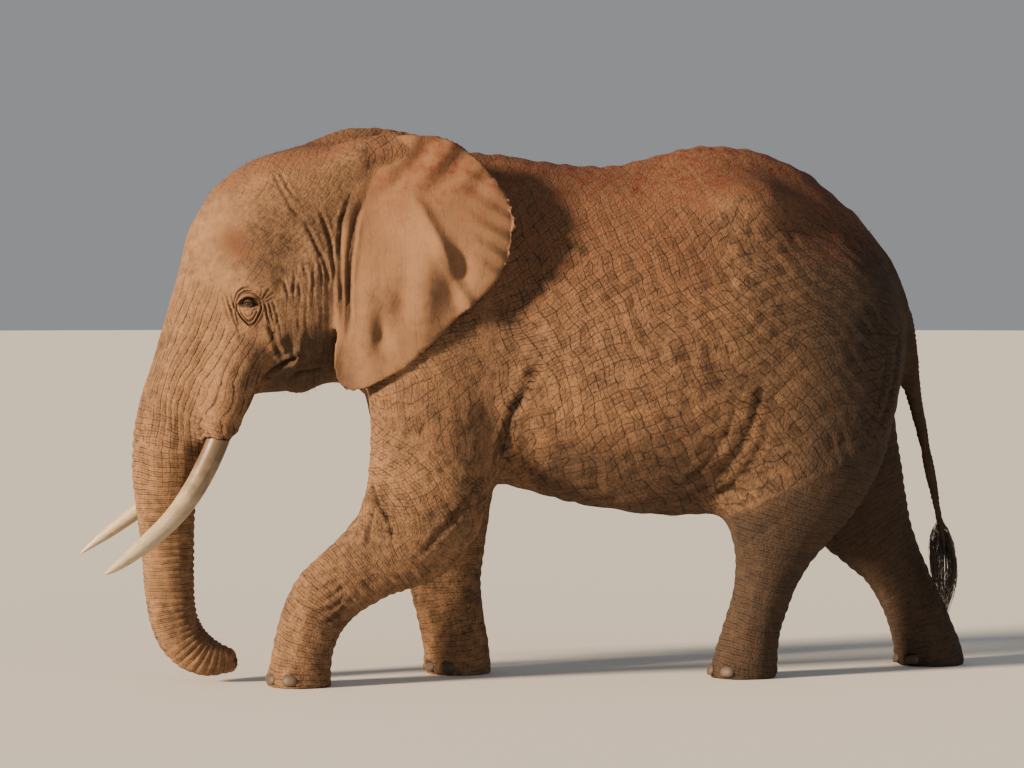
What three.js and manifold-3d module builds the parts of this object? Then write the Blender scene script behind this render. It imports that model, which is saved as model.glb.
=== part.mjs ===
// African bush elephant, an adult cow walking with her head low and her trunk hanging, at life size.
// Millimetres, +Z up. She faces -X, her left flank is towards -Y, and her soles stand on Z = 0.
// The flesh is one smooth field, made of named masses that melt into each other. Each node is the net of that
// field over its own part of the body, parted from its neighbours by a thin flat cut.
import * as THREE from 'three';
import { mergeVertices } from 'three/addons/utils/BufferGeometryUtils.js';
import Module from 'manifold-3d';

const wasm = await Module();
wasm.setup();

// ---- driving dimensions ----
const GAP = 0.3; // left between pieces that touch
const BLEND = { limb: 150, head: 110, trunk: 90, small: 45, tail: 60 }; // how far two masses melt together
const FOOT_SPREAD = 225; // from the midline to the middle of a forefoot
const HIND_SPREAD = 210;
const EYE_RADIUS = 20;
const EYE_SUNK = 13; // from the skin in to the middle of the eyeball
const EYE_PLACE = { x: -1352, z: 1820 };
const EAR_THICK = { middle: 26, rim: 15 };
// Degrees round the foot from straight ahead.
const NAILS = { foreleg: [-62, -22, 20, 66], hindleg: [-44, 2, 50] };
const NAIL_HALF = [15, 36, 27]; // out of the foot, along its edge, and up
const NAIL_HEIGHT = 40;

const HIDE = new THREE.MeshStandardMaterial({ color: '#6f5746', roughness: 0.93, metalness: 0 });
const EAR_HIDE = new THREE.MeshStandardMaterial({ color: '#7d5c45', roughness: 0.9, metalness: 0 });
const IVORY = new THREE.MeshStandardMaterial({ color: '#d9c9ae', roughness: 0.45, metalness: 0 });
const NAIL = new THREE.MeshStandardMaterial({ color: '#9a8a76', roughness: 0.6, metalness: 0 });
const EYE = new THREE.MeshStandardMaterial({ color: '#2c1a0f', roughness: 0.15, metalness: 0 });
const HAIR = new THREE.MeshStandardMaterial({ color: '#1d1917', roughness: 0.7, metalness: 0 });

// ---- small helpers ----
const mix = (a, b, t) => a + (b - a) * t;
const clamp01 = (t) => Math.min(1, Math.max(0, t));
const smooth = (t) => clamp01(t) ** 2 * (3 - 2 * clamp01(t));

function melt(a, b, reach) {
  const near = Math.max(reach - Math.abs(a - b), 0) / reach;
  return Math.min(a, b) - (near * near * reach) / 4;
}

function carve(a, hollow, reach) {
  return -melt(-a, hollow, reach);
}

// Values of evenly smoothed stations at x: each station is { x, ...values }, in rising x.
function along(stations, x, key) {
  const last = stations.length - 1;
  let i = 0;
  while (i < last - 1 && x > stations[i + 1].x) i += 1;
  const slope = (k) => {
    const a = stations[Math.max(k - 1, 0)];
    const b = stations[Math.min(k + 1, last)];
    return (b[key] - a[key]) / (b.x - a.x);
  };
  const [a, b] = [stations[i], stations[i + 1]];
  const step = b.x - a.x;
  const t = clamp01((x - a.x) / step);
  const [t2, t3] = [t * t, t * t * t];
  return (2 * t3 - 3 * t2 + 1) * a[key] + (t3 - 2 * t2 + t) * step * slope(i)
    + (3 * t2 - 2 * t3) * b[key] + (t3 - t2) * step * slope(i + 1);
}

// ---- masses ----
// Each returns a function (x, y, z) that is about the distance to its surface, negative inside.

// A rounded mass with three half axes, pitched about Y.
function mass({ at, half, pitch = 0 }) {
  const [c, s] = [Math.cos(pitch), Math.sin(pitch)];
  return (x, y, z) => {
    const [dx, dy, dz] = [x - at[0], y - at[1], z - at[2]];
    const [u, v, w] = [(c * dx - s * dz) / half[0], dy / half[1], (s * dx + c * dz) / half[2]];
    const k = Math.hypot(u, v, w);
    return (k * (k - 1)) / Math.max(Math.hypot(u / half[0], v / half[1], w / half[2]), 1e-6);
  };
}

const curveThrough = (joints, closed = false) => new THREE.CatmullRomCurve3(
  joints.map(([x, y, z]) => new THREE.Vector3(x, y, z)), closed, 'centripetal');

// A limb: oval sections along a smooth curve. Each joint is [x, y, z, fore-and-aft radius, sideways radius].
const LIMB_STEPS = 4;
const FAR = 260; // beyond this the distance to the limb's box will do
function limb(joints) {
  const curve = curveThrough(joints);
  const stations = joints.map(([, , , fore, side], x) => ({ x, fore, side }));
  const rings = [];
  for (let i = 0; i <= (joints.length - 1) * LIMB_STEPS; i += 1) {
    const t = i / LIMB_STEPS;
    const p = curve.getPoint(t / (joints.length - 1));
    rings.push({ p, fore: along(stations, t, 'fore'), side: along(stations, t, 'side') });
  }
  const lengths = rings.slice(1).map((ring, i) => {
    const axis = ring.p.clone().sub(rings[i].p);
    const long = axis.length();
    axis.divideScalar(long);
    const across = new THREE.Vector3(0, 1, 0).addScaledVector(axis, -axis.y).normalize();
    return { from: rings[i], to: ring, axis, long, across, fore: axis.clone().cross(across) };
  });
  const reach = Math.max(...rings.map((ring) => Math.max(ring.fore, ring.side)));
  const box = new THREE.Box3().setFromPoints(rings.map((ring) => ring.p)).expandByScalar(reach);
  const far = new THREE.Vector3();
  return (x, y, z) => {
    const clear = box.distanceToPoint(far.set(x, y, z));
    if (clear > FAR) return clear;
    let least = Infinity;
    for (const s of lengths) {
      const [dx, dy, dz] = [x - s.from.p.x, y - s.from.p.y, z - s.from.p.z];
      const run = dx * s.axis.x + dy * s.axis.y + dz * s.axis.z;
      const t = clamp01(run / s.long);
      const [rf, rs] = [mix(s.from.fore, s.to.fore, t), mix(s.from.side, s.to.side, t)];
      const re = Math.min(rf, rs);
      const f = (dx * s.fore.x + dy * s.fore.y + dz * s.fore.z) / rf;
      const a = (dx * s.across.x + dy * s.across.y + dz * s.across.z) / rs;
      const e = (run - t * s.long) / re;
      const k = Math.hypot(f, a, e);
      least = Math.min(least, (k * (k - 1)) / Math.max(Math.hypot(f / rf, a / rs, e / re), 1e-6));
    }
    return least;
  };
}

// The barrel: upright oval sections along X between a back line and a belly line, narrower towards the spine.
const BARREL = [
  { x: -980, back: 2500, belly: 1560, half: 250 },
  { x: -700, back: 2545, belly: 1330, half: 285 },
  { x: -430, back: 2553, belly: 1130, half: 352 },
  { x: -130, back: 2533, belly: 960, half: 428 },
  { x: 200, back: 2488, belly: 857, half: 508 },
  { x: 560, back: 2466, belly: 790, half: 570 },
  { x: 800, back: 2520, belly: 772, half: 584 },
  { x: 1000, back: 2538, belly: 805, half: 568 },
  { x: 1270, back: 2468, belly: 985, half: 505 },
  { x: 1545, back: 2344, belly: 1150, half: 408 },
  { x: 1750, back: 2158, belly: 1270, half: 302 },
  { x: 1840, back: 1995, belly: 1335, half: 215 },
];
const BARREL_NARROWS = 0.2; // how much slimmer the back is than the middle
const BARREL_CAP = 62; // how far the ends are rounded out

function barrel(x, y, z) {
  const [low, high] = [BARREL[0].x, BARREL[BARREL.length - 1].x];
  const at = Math.min(high, Math.max(low, x));
  const [back, belly] = [along(BARREL, at, 'back'), along(BARREL, at, 'belly')];
  const tall = (back - belly) / 2;
  const w = (z - (back + belly) / 2) / tall;
  const wide = along(BARREL, at, 'half') * (1 - BARREL_NARROWS * Math.max(-1, Math.min(1, w)));
  const [v, u] = [y / wide, (x - at) / BARREL_CAP];
  const k = Math.hypot(u, v, w);
  return (k * (k - 1)) / Math.max(Math.hypot(u / BARREL_CAP, v / wide, w / tall), 1e-6);
}

// Both sides of a paired mass.
const paired = (shape) => (x, y, z) => shape(x, -Math.abs(y), z);

const LIMBS = {
  // left: swung forward, the elbow bent
  foreleg_left: limb([
    [-330, -235, 2150, 240, 120], [-462, -262, 1560, 308, 165], [-468, -285, 1080, 308, 178],
    [-560, -285, 755, 282, 172], [-790, -262, 578, 190, 150], [-1000, -240, 405, 166, 138],
    [-1082, -228, 205, 148, 132], [-1104, -FOOT_SPREAD, 70, 153, 146], [-1108, -FOOT_SPREAD, -60, 166, 160],
  ]),
  // right: upright under the body, taking the weight
  foreleg_right: limb([
    [-330, 235, 2150, 240, 120], [-430, 262, 1560, 310, 165], [-362, 285, 1090, 300, 178],
    [-335, 280, 800, 246, 172], [-328, 262, 590, 198, 152], [-322, 244, 400, 178, 142],
    [-288, 230, 200, 165, 136], [-270, FOOT_SPREAD, 70, 163, 148], [-266, FOOT_SPREAD, -60, 172, 162],
  ]),
  // left: under the body, the thigh drawn forward
  hindleg_left: limb([
    [1420, -255, 1820, 400, 190], [1380, -290, 1330, 425, 235], [1305, -300, 1010, 372, 225],
    [1225, -285, 760, 262, 190], [1182, -255, 545, 170, 150], [1140, -232, 370, 144, 132],
    [1096, -218, 200, 146, 132], [1070, -HIND_SPREAD, 70, 164, 142], [1060, -HIND_SPREAD, -60, 178, 150],
  ]),
  // right: stretched back, about to push off
  hindleg_right: limb([
    [1430, 255, 1820, 395, 190], [1520, 290, 1360, 410, 230], [1640, 300, 1030, 355, 222],
    [1765, 280, 760, 262, 190], [1905, 250, 545, 172, 150], [1995, 232, 380, 150, 136],
    [2062, 218, 215, 158, 134], [2108, HIND_SPREAD, 75, 170, 142], [2130, HIND_SPREAD, -60, 178, 150],
  ]),
};

const TRUNK = limb([
  [-1330, 0, 1990, 300, 232], [-1446, 0, 1730, 270, 236], [-1563, 0, 1450, 238, 214],
  [-1652, 0, 1245, 214, 196], [-1700, 0, 1060, 186, 172], [-1720, 0, 880, 150, 148],
  [-1712, 0, 680, 131, 132], [-1705, 0, 500, 124, 124], [-1692, 0, 350, 118, 116],
  [-1650, 0, 225, 116, 108], [-1572, 0, 146, 108, 98], [-1490, 0, 112, 84, 80], [-1425, 0, 106, 58, 60],
]);

const CRANIUM = mass({ at: [-1120, 0, 2055], half: [485, 322, 478], pitch: 0.12 });
const CROWN = paired(mass({ at: [-905, -135, 2345], half: [400, 165, 208], pitch: 0.14 }));
// The ridge that each ear hangs from, along the top of the head; the right one is carried higher.
const EAR_ROOTS = [
  limb([[-1030, -160, 2432, 80, 105], [-820, -195, 2502, 104, 118], [-640, -235, 2546, 98, 108],
    [-490, -285, 2556, 84, 84]]),
  limb([[-1090, 165, 2452, 82, 100], [-880, 200, 2540, 104, 114], [-690, 235, 2584, 100, 106],
    [-545, 268, 2584, 80, 82]]),
];
const CHEEK = paired(mass({ at: [-1130, -150, 1790], half: [290, 190, 330] }));
const JAW = limb([
  [-880, 0, 1670, 205, 235], [-1060, 0, 1590, 186, 205], [-1200, 0, 1525, 142, 140], [-1272, 0, 1478, 92, 86],
]);
const BROW = paired(mass({ at: [-1330, -215, 1880], half: [150, 95, 105], pitch: 0.5 }));
const CHEEKBONE = paired(mass({ at: [-1205, -262, 1830], half: [190, 62, 70], pitch: -0.1 }));
const TEMPLE = paired(mass({ at: [-1170, -420, 2050], half: [150, 130, 170], pitch: 0.3 }));
const SHEATH = paired(limb([
  [-1300, -190, 1720, 150, 110], [-1400, -212, 1500, 138, 108], [-1468, -228, 1320, 112, 98],
  [-1500, -238, 1228, 84, 84],
]));
const HIP_BONE = paired(mass({ at: [1060, -330, 2280], half: [190, 90, 110], pitch: -0.2 }));
const SPINE = mass({ at: [980, 0, 2425], half: [420, 80, 112] });
const TAIL = limb([
  [1775, 0, 1910, 130, 140], [1866, 0, 1775, 84, 92], [1922, 0, 1650, 60, 60], [1948, 0, 1530, 49, 47],
  [1966, 0, 1385, 42, 40], [2010, 0, 1190, 32, 31], [2058, 0, 965, 27, 26], [2100, 0, 770, 22, 22],
  [2126, 0, 625, 20, 20], [2138, 0, 560, 17, 17],
]);

// The whole flesh, without the ears.
function flesh(x, y, z) {
  let f = barrel(x, y, z);
  for (const leg of Object.values(LIMBS)) f = melt(f, leg(x, y, z), BLEND.limb);
  f = melt(f, HIP_BONE(x, y, z), BLEND.limb);
  f = melt(f, SPINE(x, y, z), BLEND.limb);
  if (x < -500) {
    let head = melt(CRANIUM(x, y, z), CHEEK(x, y, z), BLEND.head);
    head = melt(head, CROWN(x, y, z), BLEND.head);
    for (const root of EAR_ROOTS) head = melt(head, root(x, y, z), BLEND.small);
    head = melt(head, TRUNK(x, y, z), BLEND.trunk);
    head = melt(head, JAW(x, y, z), BLEND.small);
    head = melt(head, SHEATH(x, y, z), BLEND.small);
    head = melt(head, BROW(x, y, z), BLEND.small);
    head = melt(head, CHEEKBONE(x, y, z), BLEND.small);
    head = carve(head, TEMPLE(x, y, z), BLEND.small);
    f = melt(f, head, BLEND.head);
  }
  if (x > 1500) f = melt(f, TAIL(x, y, z), BLEND.tail);
  return f;
}

// ---- from field to solid ----

function gradient(field, p, out) {
  const h = 2;
  return out.set(
    field(p.x + h, p.y, p.z) - field(p.x - h, p.y, p.z),
    field(p.x, p.y + h, p.z) - field(p.x, p.y - h, p.z),
    field(p.x, p.y, p.z + h) - field(p.x, p.y, p.z - h),
  ).divideScalar(2 * h);
}

// Moves a point on to the field's surface, by no more than most.
function settle(field, p, most) {
  const g = new THREE.Vector3();
  for (let k = 0; k < 4; k += 1) {
    const value = field(p.x, p.y, p.z);
    gradient(field, p, g);
    const step = THREE.MathUtils.clamp(value / Math.max(g.length(), 0.2), -most, most);
    p.addScaledVector(g.normalize(), -step);
  }
}

// Fills the outside corner of each grid face whose inside corners only meet across it, where a net would
// pinch.
function unpinch(value, count, index) {
  const faces = [[[1, 0, 0], [0, 1, 0]], [[0, 1, 0], [0, 0, 1]], [[0, 0, 1], [1, 0, 0]]];
  for (let filled = true; filled;) {
    filled = false;
    for (let k = 0; k < count[2] - 1; k += 1) {
      for (let j = 0; j < count[1] - 1; j += 1) {
        for (let i = 0; i < count[0] - 1; i += 1) {
          for (const [p, q] of faces) {
            const at = [
              index(i, j, k), index(i + p[0], j + p[1], k + p[2]),
              index(i + p[0] + q[0], j + p[1] + q[1], k + p[2] + q[2]), index(i + q[0], j + q[1], k + q[2]),
            ];
            const inside = at.map((n) => value[n] < 0);
            if (inside[0] !== inside[2] || inside[1] !== inside[3] || inside[0] === inside[1]) continue;
            const outer = inside[0] ? [at[1], at[3]] : [at[0], at[2]];
            value[value[outer[0]] < value[outer[1]] ? outer[0] : outer[1]] = -1;
            filled = true;
          }
        }
      }
    }
  }
}

// A closed net over the field inside a box: one point in each cell that the surface crosses, joined across
// each crossed edge, then evened out and settled on the surface.
const NET_ROUNDS = 3;
function net(field, low, high, cell) {
  const count = low.map((v, i) => Math.ceil((high[i] - v) / cell[i]) + 1);
  const place = (i, j, k) => [low[0] + i * cell[0], low[1] + j * cell[1], low[2] + k * cell[2]];
  const index = (i, j, k) => i + count[0] * (j + count[1] * k);
  const atRim = (last, ...cell3) => cell3.some((v, axis) => v === 0 || v === count[axis] - last);
  const value = new Float64Array(count[0] * count[1] * count[2]);
  for (let k = 0; k < count[2]; k += 1) {
    for (let j = 0; j < count[1]; j += 1) {
      for (let i = 0; i < count[0]; i += 1) {
        value[index(i, j, k)] = atRim(1, i, j, k) ? Math.min(...cell) / 2 : field(...place(i, j, k));
      }
    }
  }
  unpinch(value, count, index);
  const corners = [[0, 0, 0], [1, 0, 0], [0, 1, 0], [1, 1, 0], [0, 0, 1], [1, 0, 1], [0, 1, 1], [1, 1, 1]];
  const edges = [
    [0, 1], [2, 3], [4, 5], [6, 7], [0, 2], [1, 3], [4, 6], [5, 7], [0, 4], [1, 5], [2, 6], [3, 7],
  ];
  const points = [];
  const pinned = [];
  const at = new Map();
  for (let k = 0; k < count[2] - 1; k += 1) {
    for (let j = 0; j < count[1] - 1; j += 1) {
      for (let i = 0; i < count[0] - 1; i += 1) {
        const sum = new THREE.Vector3();
        let crossed = 0;
        const v = corners.map(([a, b, c]) => value[index(i + a, j + b, k + c)]);
        for (const [a, b] of edges) {
          if ((v[a] < 0) === (v[b] < 0)) continue;
          const t = v[a] / (v[a] - v[b]);
          sum.add(new THREE.Vector3(...corners[a]).lerp(new THREE.Vector3(...corners[b]), t));
          crossed += 1;
        }
        if (!crossed) continue;
        sum.divideScalar(crossed).add(new THREE.Vector3(i, j, k));
        at.set(index(i, j, k), points.length);
        pinned.push(atRim(2, i, j, k));
        points.push(new THREE.Vector3(...place(sum.x, sum.y, sum.z)));
      }
    }
  }
  const quads = [];
  const step = [[1, 0, 0], [0, 1, 0], [0, 0, 1]];
  for (let k = 0; k < count[2] - 1; k += 1) {
    for (let j = 0; j < count[1] - 1; j += 1) {
      for (let i = 0; i < count[0] - 1; i += 1) {
        const here = value[index(i, j, k)] < 0;
        step.forEach(([a, b, c], axis) => {
          if (here === (value[index(i + a, j + b, k + c)] < 0)) return;
          const [p, q] = [step[(axis + 1) % 3], step[(axis + 2) % 3]];
          const cellAt = (m, n) => at.get(index(...[i, j, k].map((v, w) => v - m * p[w] - n * q[w])));
          const quad = [cellAt(0, 0), cellAt(1, 0), cellAt(1, 1), cellAt(0, 1)];
          quads.push(here ? quad : quad.reverse());
        });
      }
    }
  }
  const beside = points.map(() => new Set());
  for (const quad of quads) quad.forEach((a, n) => beside[a].add(quad[(n + 1) % 4]).add(quad[(n + 3) % 4]));
  for (let round = 0; round < NET_ROUNDS; round += 1) {
    const evened = points.map((p, n) => {
      if (pinned[n]) return p;
      const mean = new THREE.Vector3();
      for (const m of beside[n]) mean.add(points[m]);
      return p.clone().lerp(mean.divideScalar(beside[n].size), 0.5);
    });
    evened.forEach((p, n) => {
      if (!pinned[n]) settle(field, p, Math.min(...cell) / 3);
      points[n] = p;
    });
  }
  const faces = [];
  for (const [a, b, c, d] of quads) {
    const short = points[a].distanceTo(points[c]) < points[b].distanceTo(points[d]);
    faces.push(...(short ? [a, b, c, a, c, d] : [a, b, d, b, c, d]));
  }
  return geometryOf(points, faces);
}

function geometryOf(points, faces) {
  const g = new THREE.BufferGeometry();
  g.setAttribute('position', new THREE.Float32BufferAttribute(points.flatMap((p) => [p.x, p.y, p.z]), 3));
  g.setIndex(faces);
  return g;
}

function solid(geometry) {
  const bare = geometry.clone();
  bare.deleteAttribute('normal');
  bare.deleteAttribute('uv');
  const merged = mergeVertices(bare, 1e-3);
  return new wasm.Manifold(new wasm.Mesh({
    numProp: 3,
    vertProperties: new Float32Array(merged.attributes.position.array),
    triVerts: new Uint32Array(merged.index.array),
  }));
}

function backTo(made) {
  const { vertProperties, triVerts, numProp } = made.getMesh();
  const g = new THREE.BufferGeometry();
  const place = new Float32Array((vertProperties.length / numProp) * 3);
  for (let i = 0; i < place.length / 3; i += 1) {
    place.set(vertProperties.subarray(i * numProp, i * numProp + 3), i * 3);
  }
  g.setAttribute('position', new THREE.BufferAttribute(place, 3));
  g.setIndex(new THREE.BufferAttribute(triVerts, 1));
  return g;
}

// The same closed geometry, swollen by the gap that touching pieces keep.
function swollen(geometry, by = GAP) {
  const bare = geometry.clone();
  bare.deleteAttribute('normal');
  bare.deleteAttribute('uv');
  const g = mergeVertices(bare, 1e-3);
  g.computeVertexNormals();
  const [p, n] = [g.attributes.position, g.attributes.normal];
  for (let i = 0; i < p.count; i += 1) {
    p.setXYZ(i, p.getX(i) + by * n.getX(i), p.getY(i) + by * n.getY(i), p.getZ(i) + by * n.getZ(i));
  }
  return solid(g);
}

// ---- sheets and tubes, ring by ring ----

// A closed skin over rings of points: each ring joins the next, and both ends are closed by a fan.
function wrap(rings) {
  const points = rings.flat();
  const n = rings[0].length;
  const faces = [];
  for (let r = 0; r < rings.length - 1; r += 1) {
    for (let i = 0; i < n; i += 1) {
      const [a, b] = [r * n + i, r * n + ((i + 1) % n)];
      faces.push(a, b, b + n, a, b + n, a + n);
    }
  }
  const middle = (ring) => ring.reduce((sum, p) => sum.add(p), new THREE.Vector3()).divideScalar(n);
  const [first, last] = [points.length, points.length + 1];
  points.push(middle(rings[0]), middle(rings[rings.length - 1]));
  for (let i = 0; i < n; i += 1) {
    const j = (i + 1) % n;
    faces.push(first, j, i, last, (rings.length - 1) * n + i, (rings.length - 1) * n + j);
  }
  const g = geometryOf(points, faces);
  return solid(g).volume() < 0 ? geometryOf(points, faces.reverse()) : g;
}

// Oval rings square to a smooth curve through joints [x, y, z, fore-and-aft radius, sideways radius].
function tube(joints, steps, sides) {
  const curve = curveThrough(joints);
  const stations = joints.map(([, , , fore, side], x) => ({ x, fore, side }));
  const rings = [];
  for (let i = 0; i <= steps; i += 1) {
    const t = i / steps;
    const axis = curve.getTangent(t);
    const across = new THREE.Vector3(0, 1, 0).addScaledVector(axis, -axis.y).normalize();
    const ahead = axis.clone().cross(across);
    const reach = ['fore', 'side'].map((key) => along(stations, t * (joints.length - 1), key));
    rings.push(Array.from({ length: sides }, (_, k) => {
      const turn = (2 * Math.PI * k) / sides;
      return curve.getPoint(t).addScaledVector(ahead, reach[0] * Math.cos(turn))
        .addScaledVector(across, reach[1] * Math.sin(turn));
    }));
  }
  return wrap(rings);
}

// The ear's outline seen from the side: from the top of its root, back and down to the tip, then up its
// front edge.
const EAR_OUTLINE = [
  [-730, 2562], [-610, 2632], [-468, 2634], [-350, 2600], [-255, 2500], [-150, 2375], [-92, 2240],
  [-120, 2070], [-190, 1920], [-335, 1790], [-480, 1650], [-640, 1500], [-790, 1412], [-895, 1368],
  [-950, 1420], [-955, 1560], [-938, 1730], [-940, 1960], [-905, 2220], [-830, 2450],
];
// How far the ear stands out from the midline, front to back, and how its top leans in.
const EAR_STANCE = [
  { x: -960, out: 322 }, { x: -860, out: 340 }, { x: -650, out: 436 }, { x: -400, out: 480 },
  { x: -80, out: 530 },
];
const EAR_LEAN = { from: 2080, slope: 0.3 };
const EAR_RINGS = [1, 0.96, 0.7, 0.35];
const EAR_SIDES = 24;
const EAR_SET = { left: [0, 0], right: [-48, 34] }; // her head is carried a little turned and tipped

function ear(side, [dx, dz]) {
  const edge = curveThrough(EAR_OUTLINE.map(([x, z]) => [x, 0, z]), true);
  const rim = edge.getSpacedPoints(EAR_SIDES).slice(0, EAR_SIDES);
  const heart = rim.reduce((sum, p) => sum.add(p), new THREE.Vector3()).divideScalar(EAR_SIDES);
  const ring = (size, face) => rim.map((p) => {
    const q = heart.clone().lerp(p, size);
    const out = along(EAR_STANCE, q.x, 'out') - EAR_LEAN.slope * Math.max(0, q.z - EAR_LEAN.from);
    const thick = mix(EAR_THICK.middle, EAR_THICK.rim, smooth((size - 0.3) / 0.7)) / 2;
    return q.set(q.x + dx, side * (out + face * thick), q.z + dz);
  });
  const half = ring(1, 0);
  const inner = EAR_RINGS.slice(1).reverse().map((size) => ring(size, -1));
  const outer = EAR_RINGS.slice(1).map((size) => ring(size, 1));
  return wrap([...inner, half, ...outer]);
}

// Tusks: from inside the sheath down, forward and a little apart, each thinning to its tip.
const TUSKS = {
  left: [
    [-1452, -222, 1300, 56, 54], [-1484, -230, 1192, 59, 57], [-1535, -240, 1075, 58, 57],
    [-1590, -252, 976, 57, 56], [-1657, -268, 872, 54, 54], [-1737, -286, 785, 50, 50],
    [-1826, -304, 705, 44, 44], [-1912, -320, 638, 36, 36], [-1985, -332, 586, 24, 24],
    [-2037, -340, 556, 6, 6],
  ],
  right: [
    [-1466, 222, 1318, 56, 54], [-1505, 230, 1212, 59, 57], [-1560, 240, 1104, 58, 57],
    [-1625, 252, 1012, 56, 55], [-1700, 268, 925, 52, 52], [-1785, 286, 846, 46, 46],
    [-1872, 304, 775, 39, 39], [-1965, 320, 706, 31, 31], [-2042, 332, 650, 21, 21],
    [-2103, 340, 602, 6, 6],
  ],
};

// The brush of the tail: a leaf of hair in line with the body, with the tail's end inside its top.
const TUFT = [
  [2128, 0, 612, 30, 24], [2122, 0, 540, 70, 34], [2120, 0, 470, 76, 38], [2126, 0, 390, 68, 34],
  [2138, 0, 310, 46, 26], [2150, 0, 240, 16, 12],
];

// ---- cuts: each is a point and the direction of the side that is kept ----
const flip = ({ at, way }) => ({ at, way: way.map((v) => -v) });
const CUTS = {
  floor: { at: [0, 0, 0], way: [0, 0, 1] },
  left: { at: [0, 0, 0], way: [0, -1, 0] },
  right: { at: [0, 0, 0], way: [0, 1, 0] },
  armpit: { at: [-130, 0, 925], way: [-0.496, 0, -0.868] },
  groin: { at: [930, 0, 785], way: [0.428, 0, -0.904] },
  chest: { at: [-560, 0, 2000], way: [-0.966, 0, 0.258] },
  loin: { at: [900, 0, 1500], way: [1, 0, 0] },
  ribs: { at: [60, 0, 1500], way: [1, 0, 0] },
  nape: { at: [-850, 0, 2000], way: [-0.996, 0, 0.083] },
  trunk_base: { at: [-1655, 0, 1222], way: [-0.3, 0, -0.954] },
  trunk_half: { at: [-1715, 0, 790], way: [0, 0, -1] },
  trunk_bend: { at: [-1690, 0, 345], way: [0.14, 0, -0.99] },
  tail_half: { at: [2035, 0, 1075], way: [0.2, 0, -0.98] },
  tail_end: { at: [2130, 0, 592], way: [0, 0, -1] },
};
const TAIL_ROOT = { x: 1900, y: 105, z: 1770 }; // the tail is all that hangs behind and below this corner

function keep(body, cut) {
  const way = new THREE.Vector3(...cut.way).normalize();
  return body.trimByPlane(way.toArray(), way.dot(new THREE.Vector3(...cut.at)) + GAP / 2);
}

// A flesh node: the net over a box, trimmed by its cuts, without the crumbs that a net may leave beside it.
function piece(low, high, cell, cuts, field = flesh) {
  const trimmed = cuts.reduce(keep, solid(net(field, low, high, cell)));
  return trimmed.decompose().sort((a, b) => b.volume() - a.volume())[0];
}

const FLOOR_CUT = { at: [0, 0, -GAP / 2], way: [0, 0, 1] }; // the soles end at exactly Z = 0

// ---- build ----
const elephant = new THREE.Group();

function add(name, geometry, material) {
  const mesh = new THREE.Mesh(geometry, material);
  mesh.name = name;
  elephant.add(mesh);
  return mesh;
}

const body = {};
body.head = piece([-2000, -480, 880], [-540, 480, 2760], [102, 94, 106],
  [flip(CUTS.trunk_base), CUTS.nape]);
body.neck = piece([-1100, -520, 1000], [-60, 520, 2760], [116, 106, 126],
  [flip(CUTS.nape), CUTS.chest, flip(CUTS.armpit)]);
body.chest = piece([-1050, -660, 600], [400, 660, 2760], [146, 132, 146],
  [flip(CUTS.chest), flip(CUTS.armpit), flip(CUTS.ribs)]);
body.barrel = piece([-270, -780, 560], [1230, 780, 2760], [164, 140, 152], [CUTS.ribs, flip(CUTS.loin)]);
body.hindquarters = piece([560, -780, 560], [2180, 780, 2760], [152, 138, 152],
  [CUTS.loin, flip(CUTS.groin)]);
body.trunk_upper = piece([-2030, -350, 560], [-1280, 350, 1520], [70, 70, 90],
  [CUTS.trunk_base, flip(CUTS.trunk_half)]);
body.trunk_middle = piece([-1980, -260, 130], [-1420, 260, 990], [60, 60, 80],
  [CUTS.trunk_half, flip(CUTS.trunk_bend)]);
body.trunk_tip = piece([-1940, -220, -80], [-1280, 220, 520], [56, 52, 58], [CUTS.trunk_bend]);

// The tail leaves the hindquarters at a square corner.
const tailRoom = (gap) => solid(new THREE.BoxGeometry(600, 2 * (TAIL_ROOT.y - gap), 1200)
  .translate(TAIL_ROOT.x + 300 + gap, 0, TAIL_ROOT.z - 600 - gap));
body.hindquarters = body.hindquarters.subtract(tailRoom(0));
body.tail_upper = piece([1800, -190, 940], [2180, 190, 1960], [38, 36, 96],
  [flip(CUTS.tail_half)]).intersect(tailRoom(GAP));
body.tail_lower = piece([1950, -80, 480], [2220, 80, 1150], [20, 20, 96],
  [CUTS.tail_half, flip(CUTS.tail_end)]);

// Each leg is parted from the body above, from its fellow down the middle, and at its wrist or hock.
const BENDS = {
  foreleg_left: { at: [-985, 0, 420], way: [-0.5, 0, -0.866] },
  foreleg_right: { at: [-322, 0, 420], way: [0, 0, -1] },
  hindleg_left: { at: [1185, 0, 560], way: [-0.15, 0, -0.989] },
  hindleg_right: { at: [1900, 0, 560], way: [0.45, 0, -0.893] },
};
// How far forward and back each leg's box goes.
const LEG_REACH = {
  foreleg_left: [-1460, 160],
  foreleg_right: [-960, 160],
  hindleg_left: [620, 2060],
  hindleg_right: [1060, 2500],
};
const THIGH_CELL = [116, 106, 116];
const SHANK_CELL = [92, 86, 98];
for (const [name, bend] of Object.entries(BENDS)) {
  const [kind, side] = name.split('_');
  const [front, back] = LEG_REACH[name];
  const [inner, outer] = side === 'left' ? [-680, 250] : [-250, 680];
  const top = CUTS[kind === 'foreleg' ? 'armpit' : 'groin'];
  body[`${name}_upper`] = piece([front, inner, 60], [back, outer, 1620], THIGH_CELL,
    [top, CUTS[side], flip(bend)]);
  body[`${name}_lower`] = piece([front, inner, -180], [back, outer, 800], SHANK_CELL,
    [bend, CUTS[side], FLOOR_CUT]);
}

const hideOf = (names) => names.map((name) => swollen(backTo(body[name]), 3 * GAP));
const without = (made, hides) => hides.reduce((left, hide) => left.subtract(hide), made).decompose()
  .sort((a, b) => b.volume() - a.volume())[0];

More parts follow.
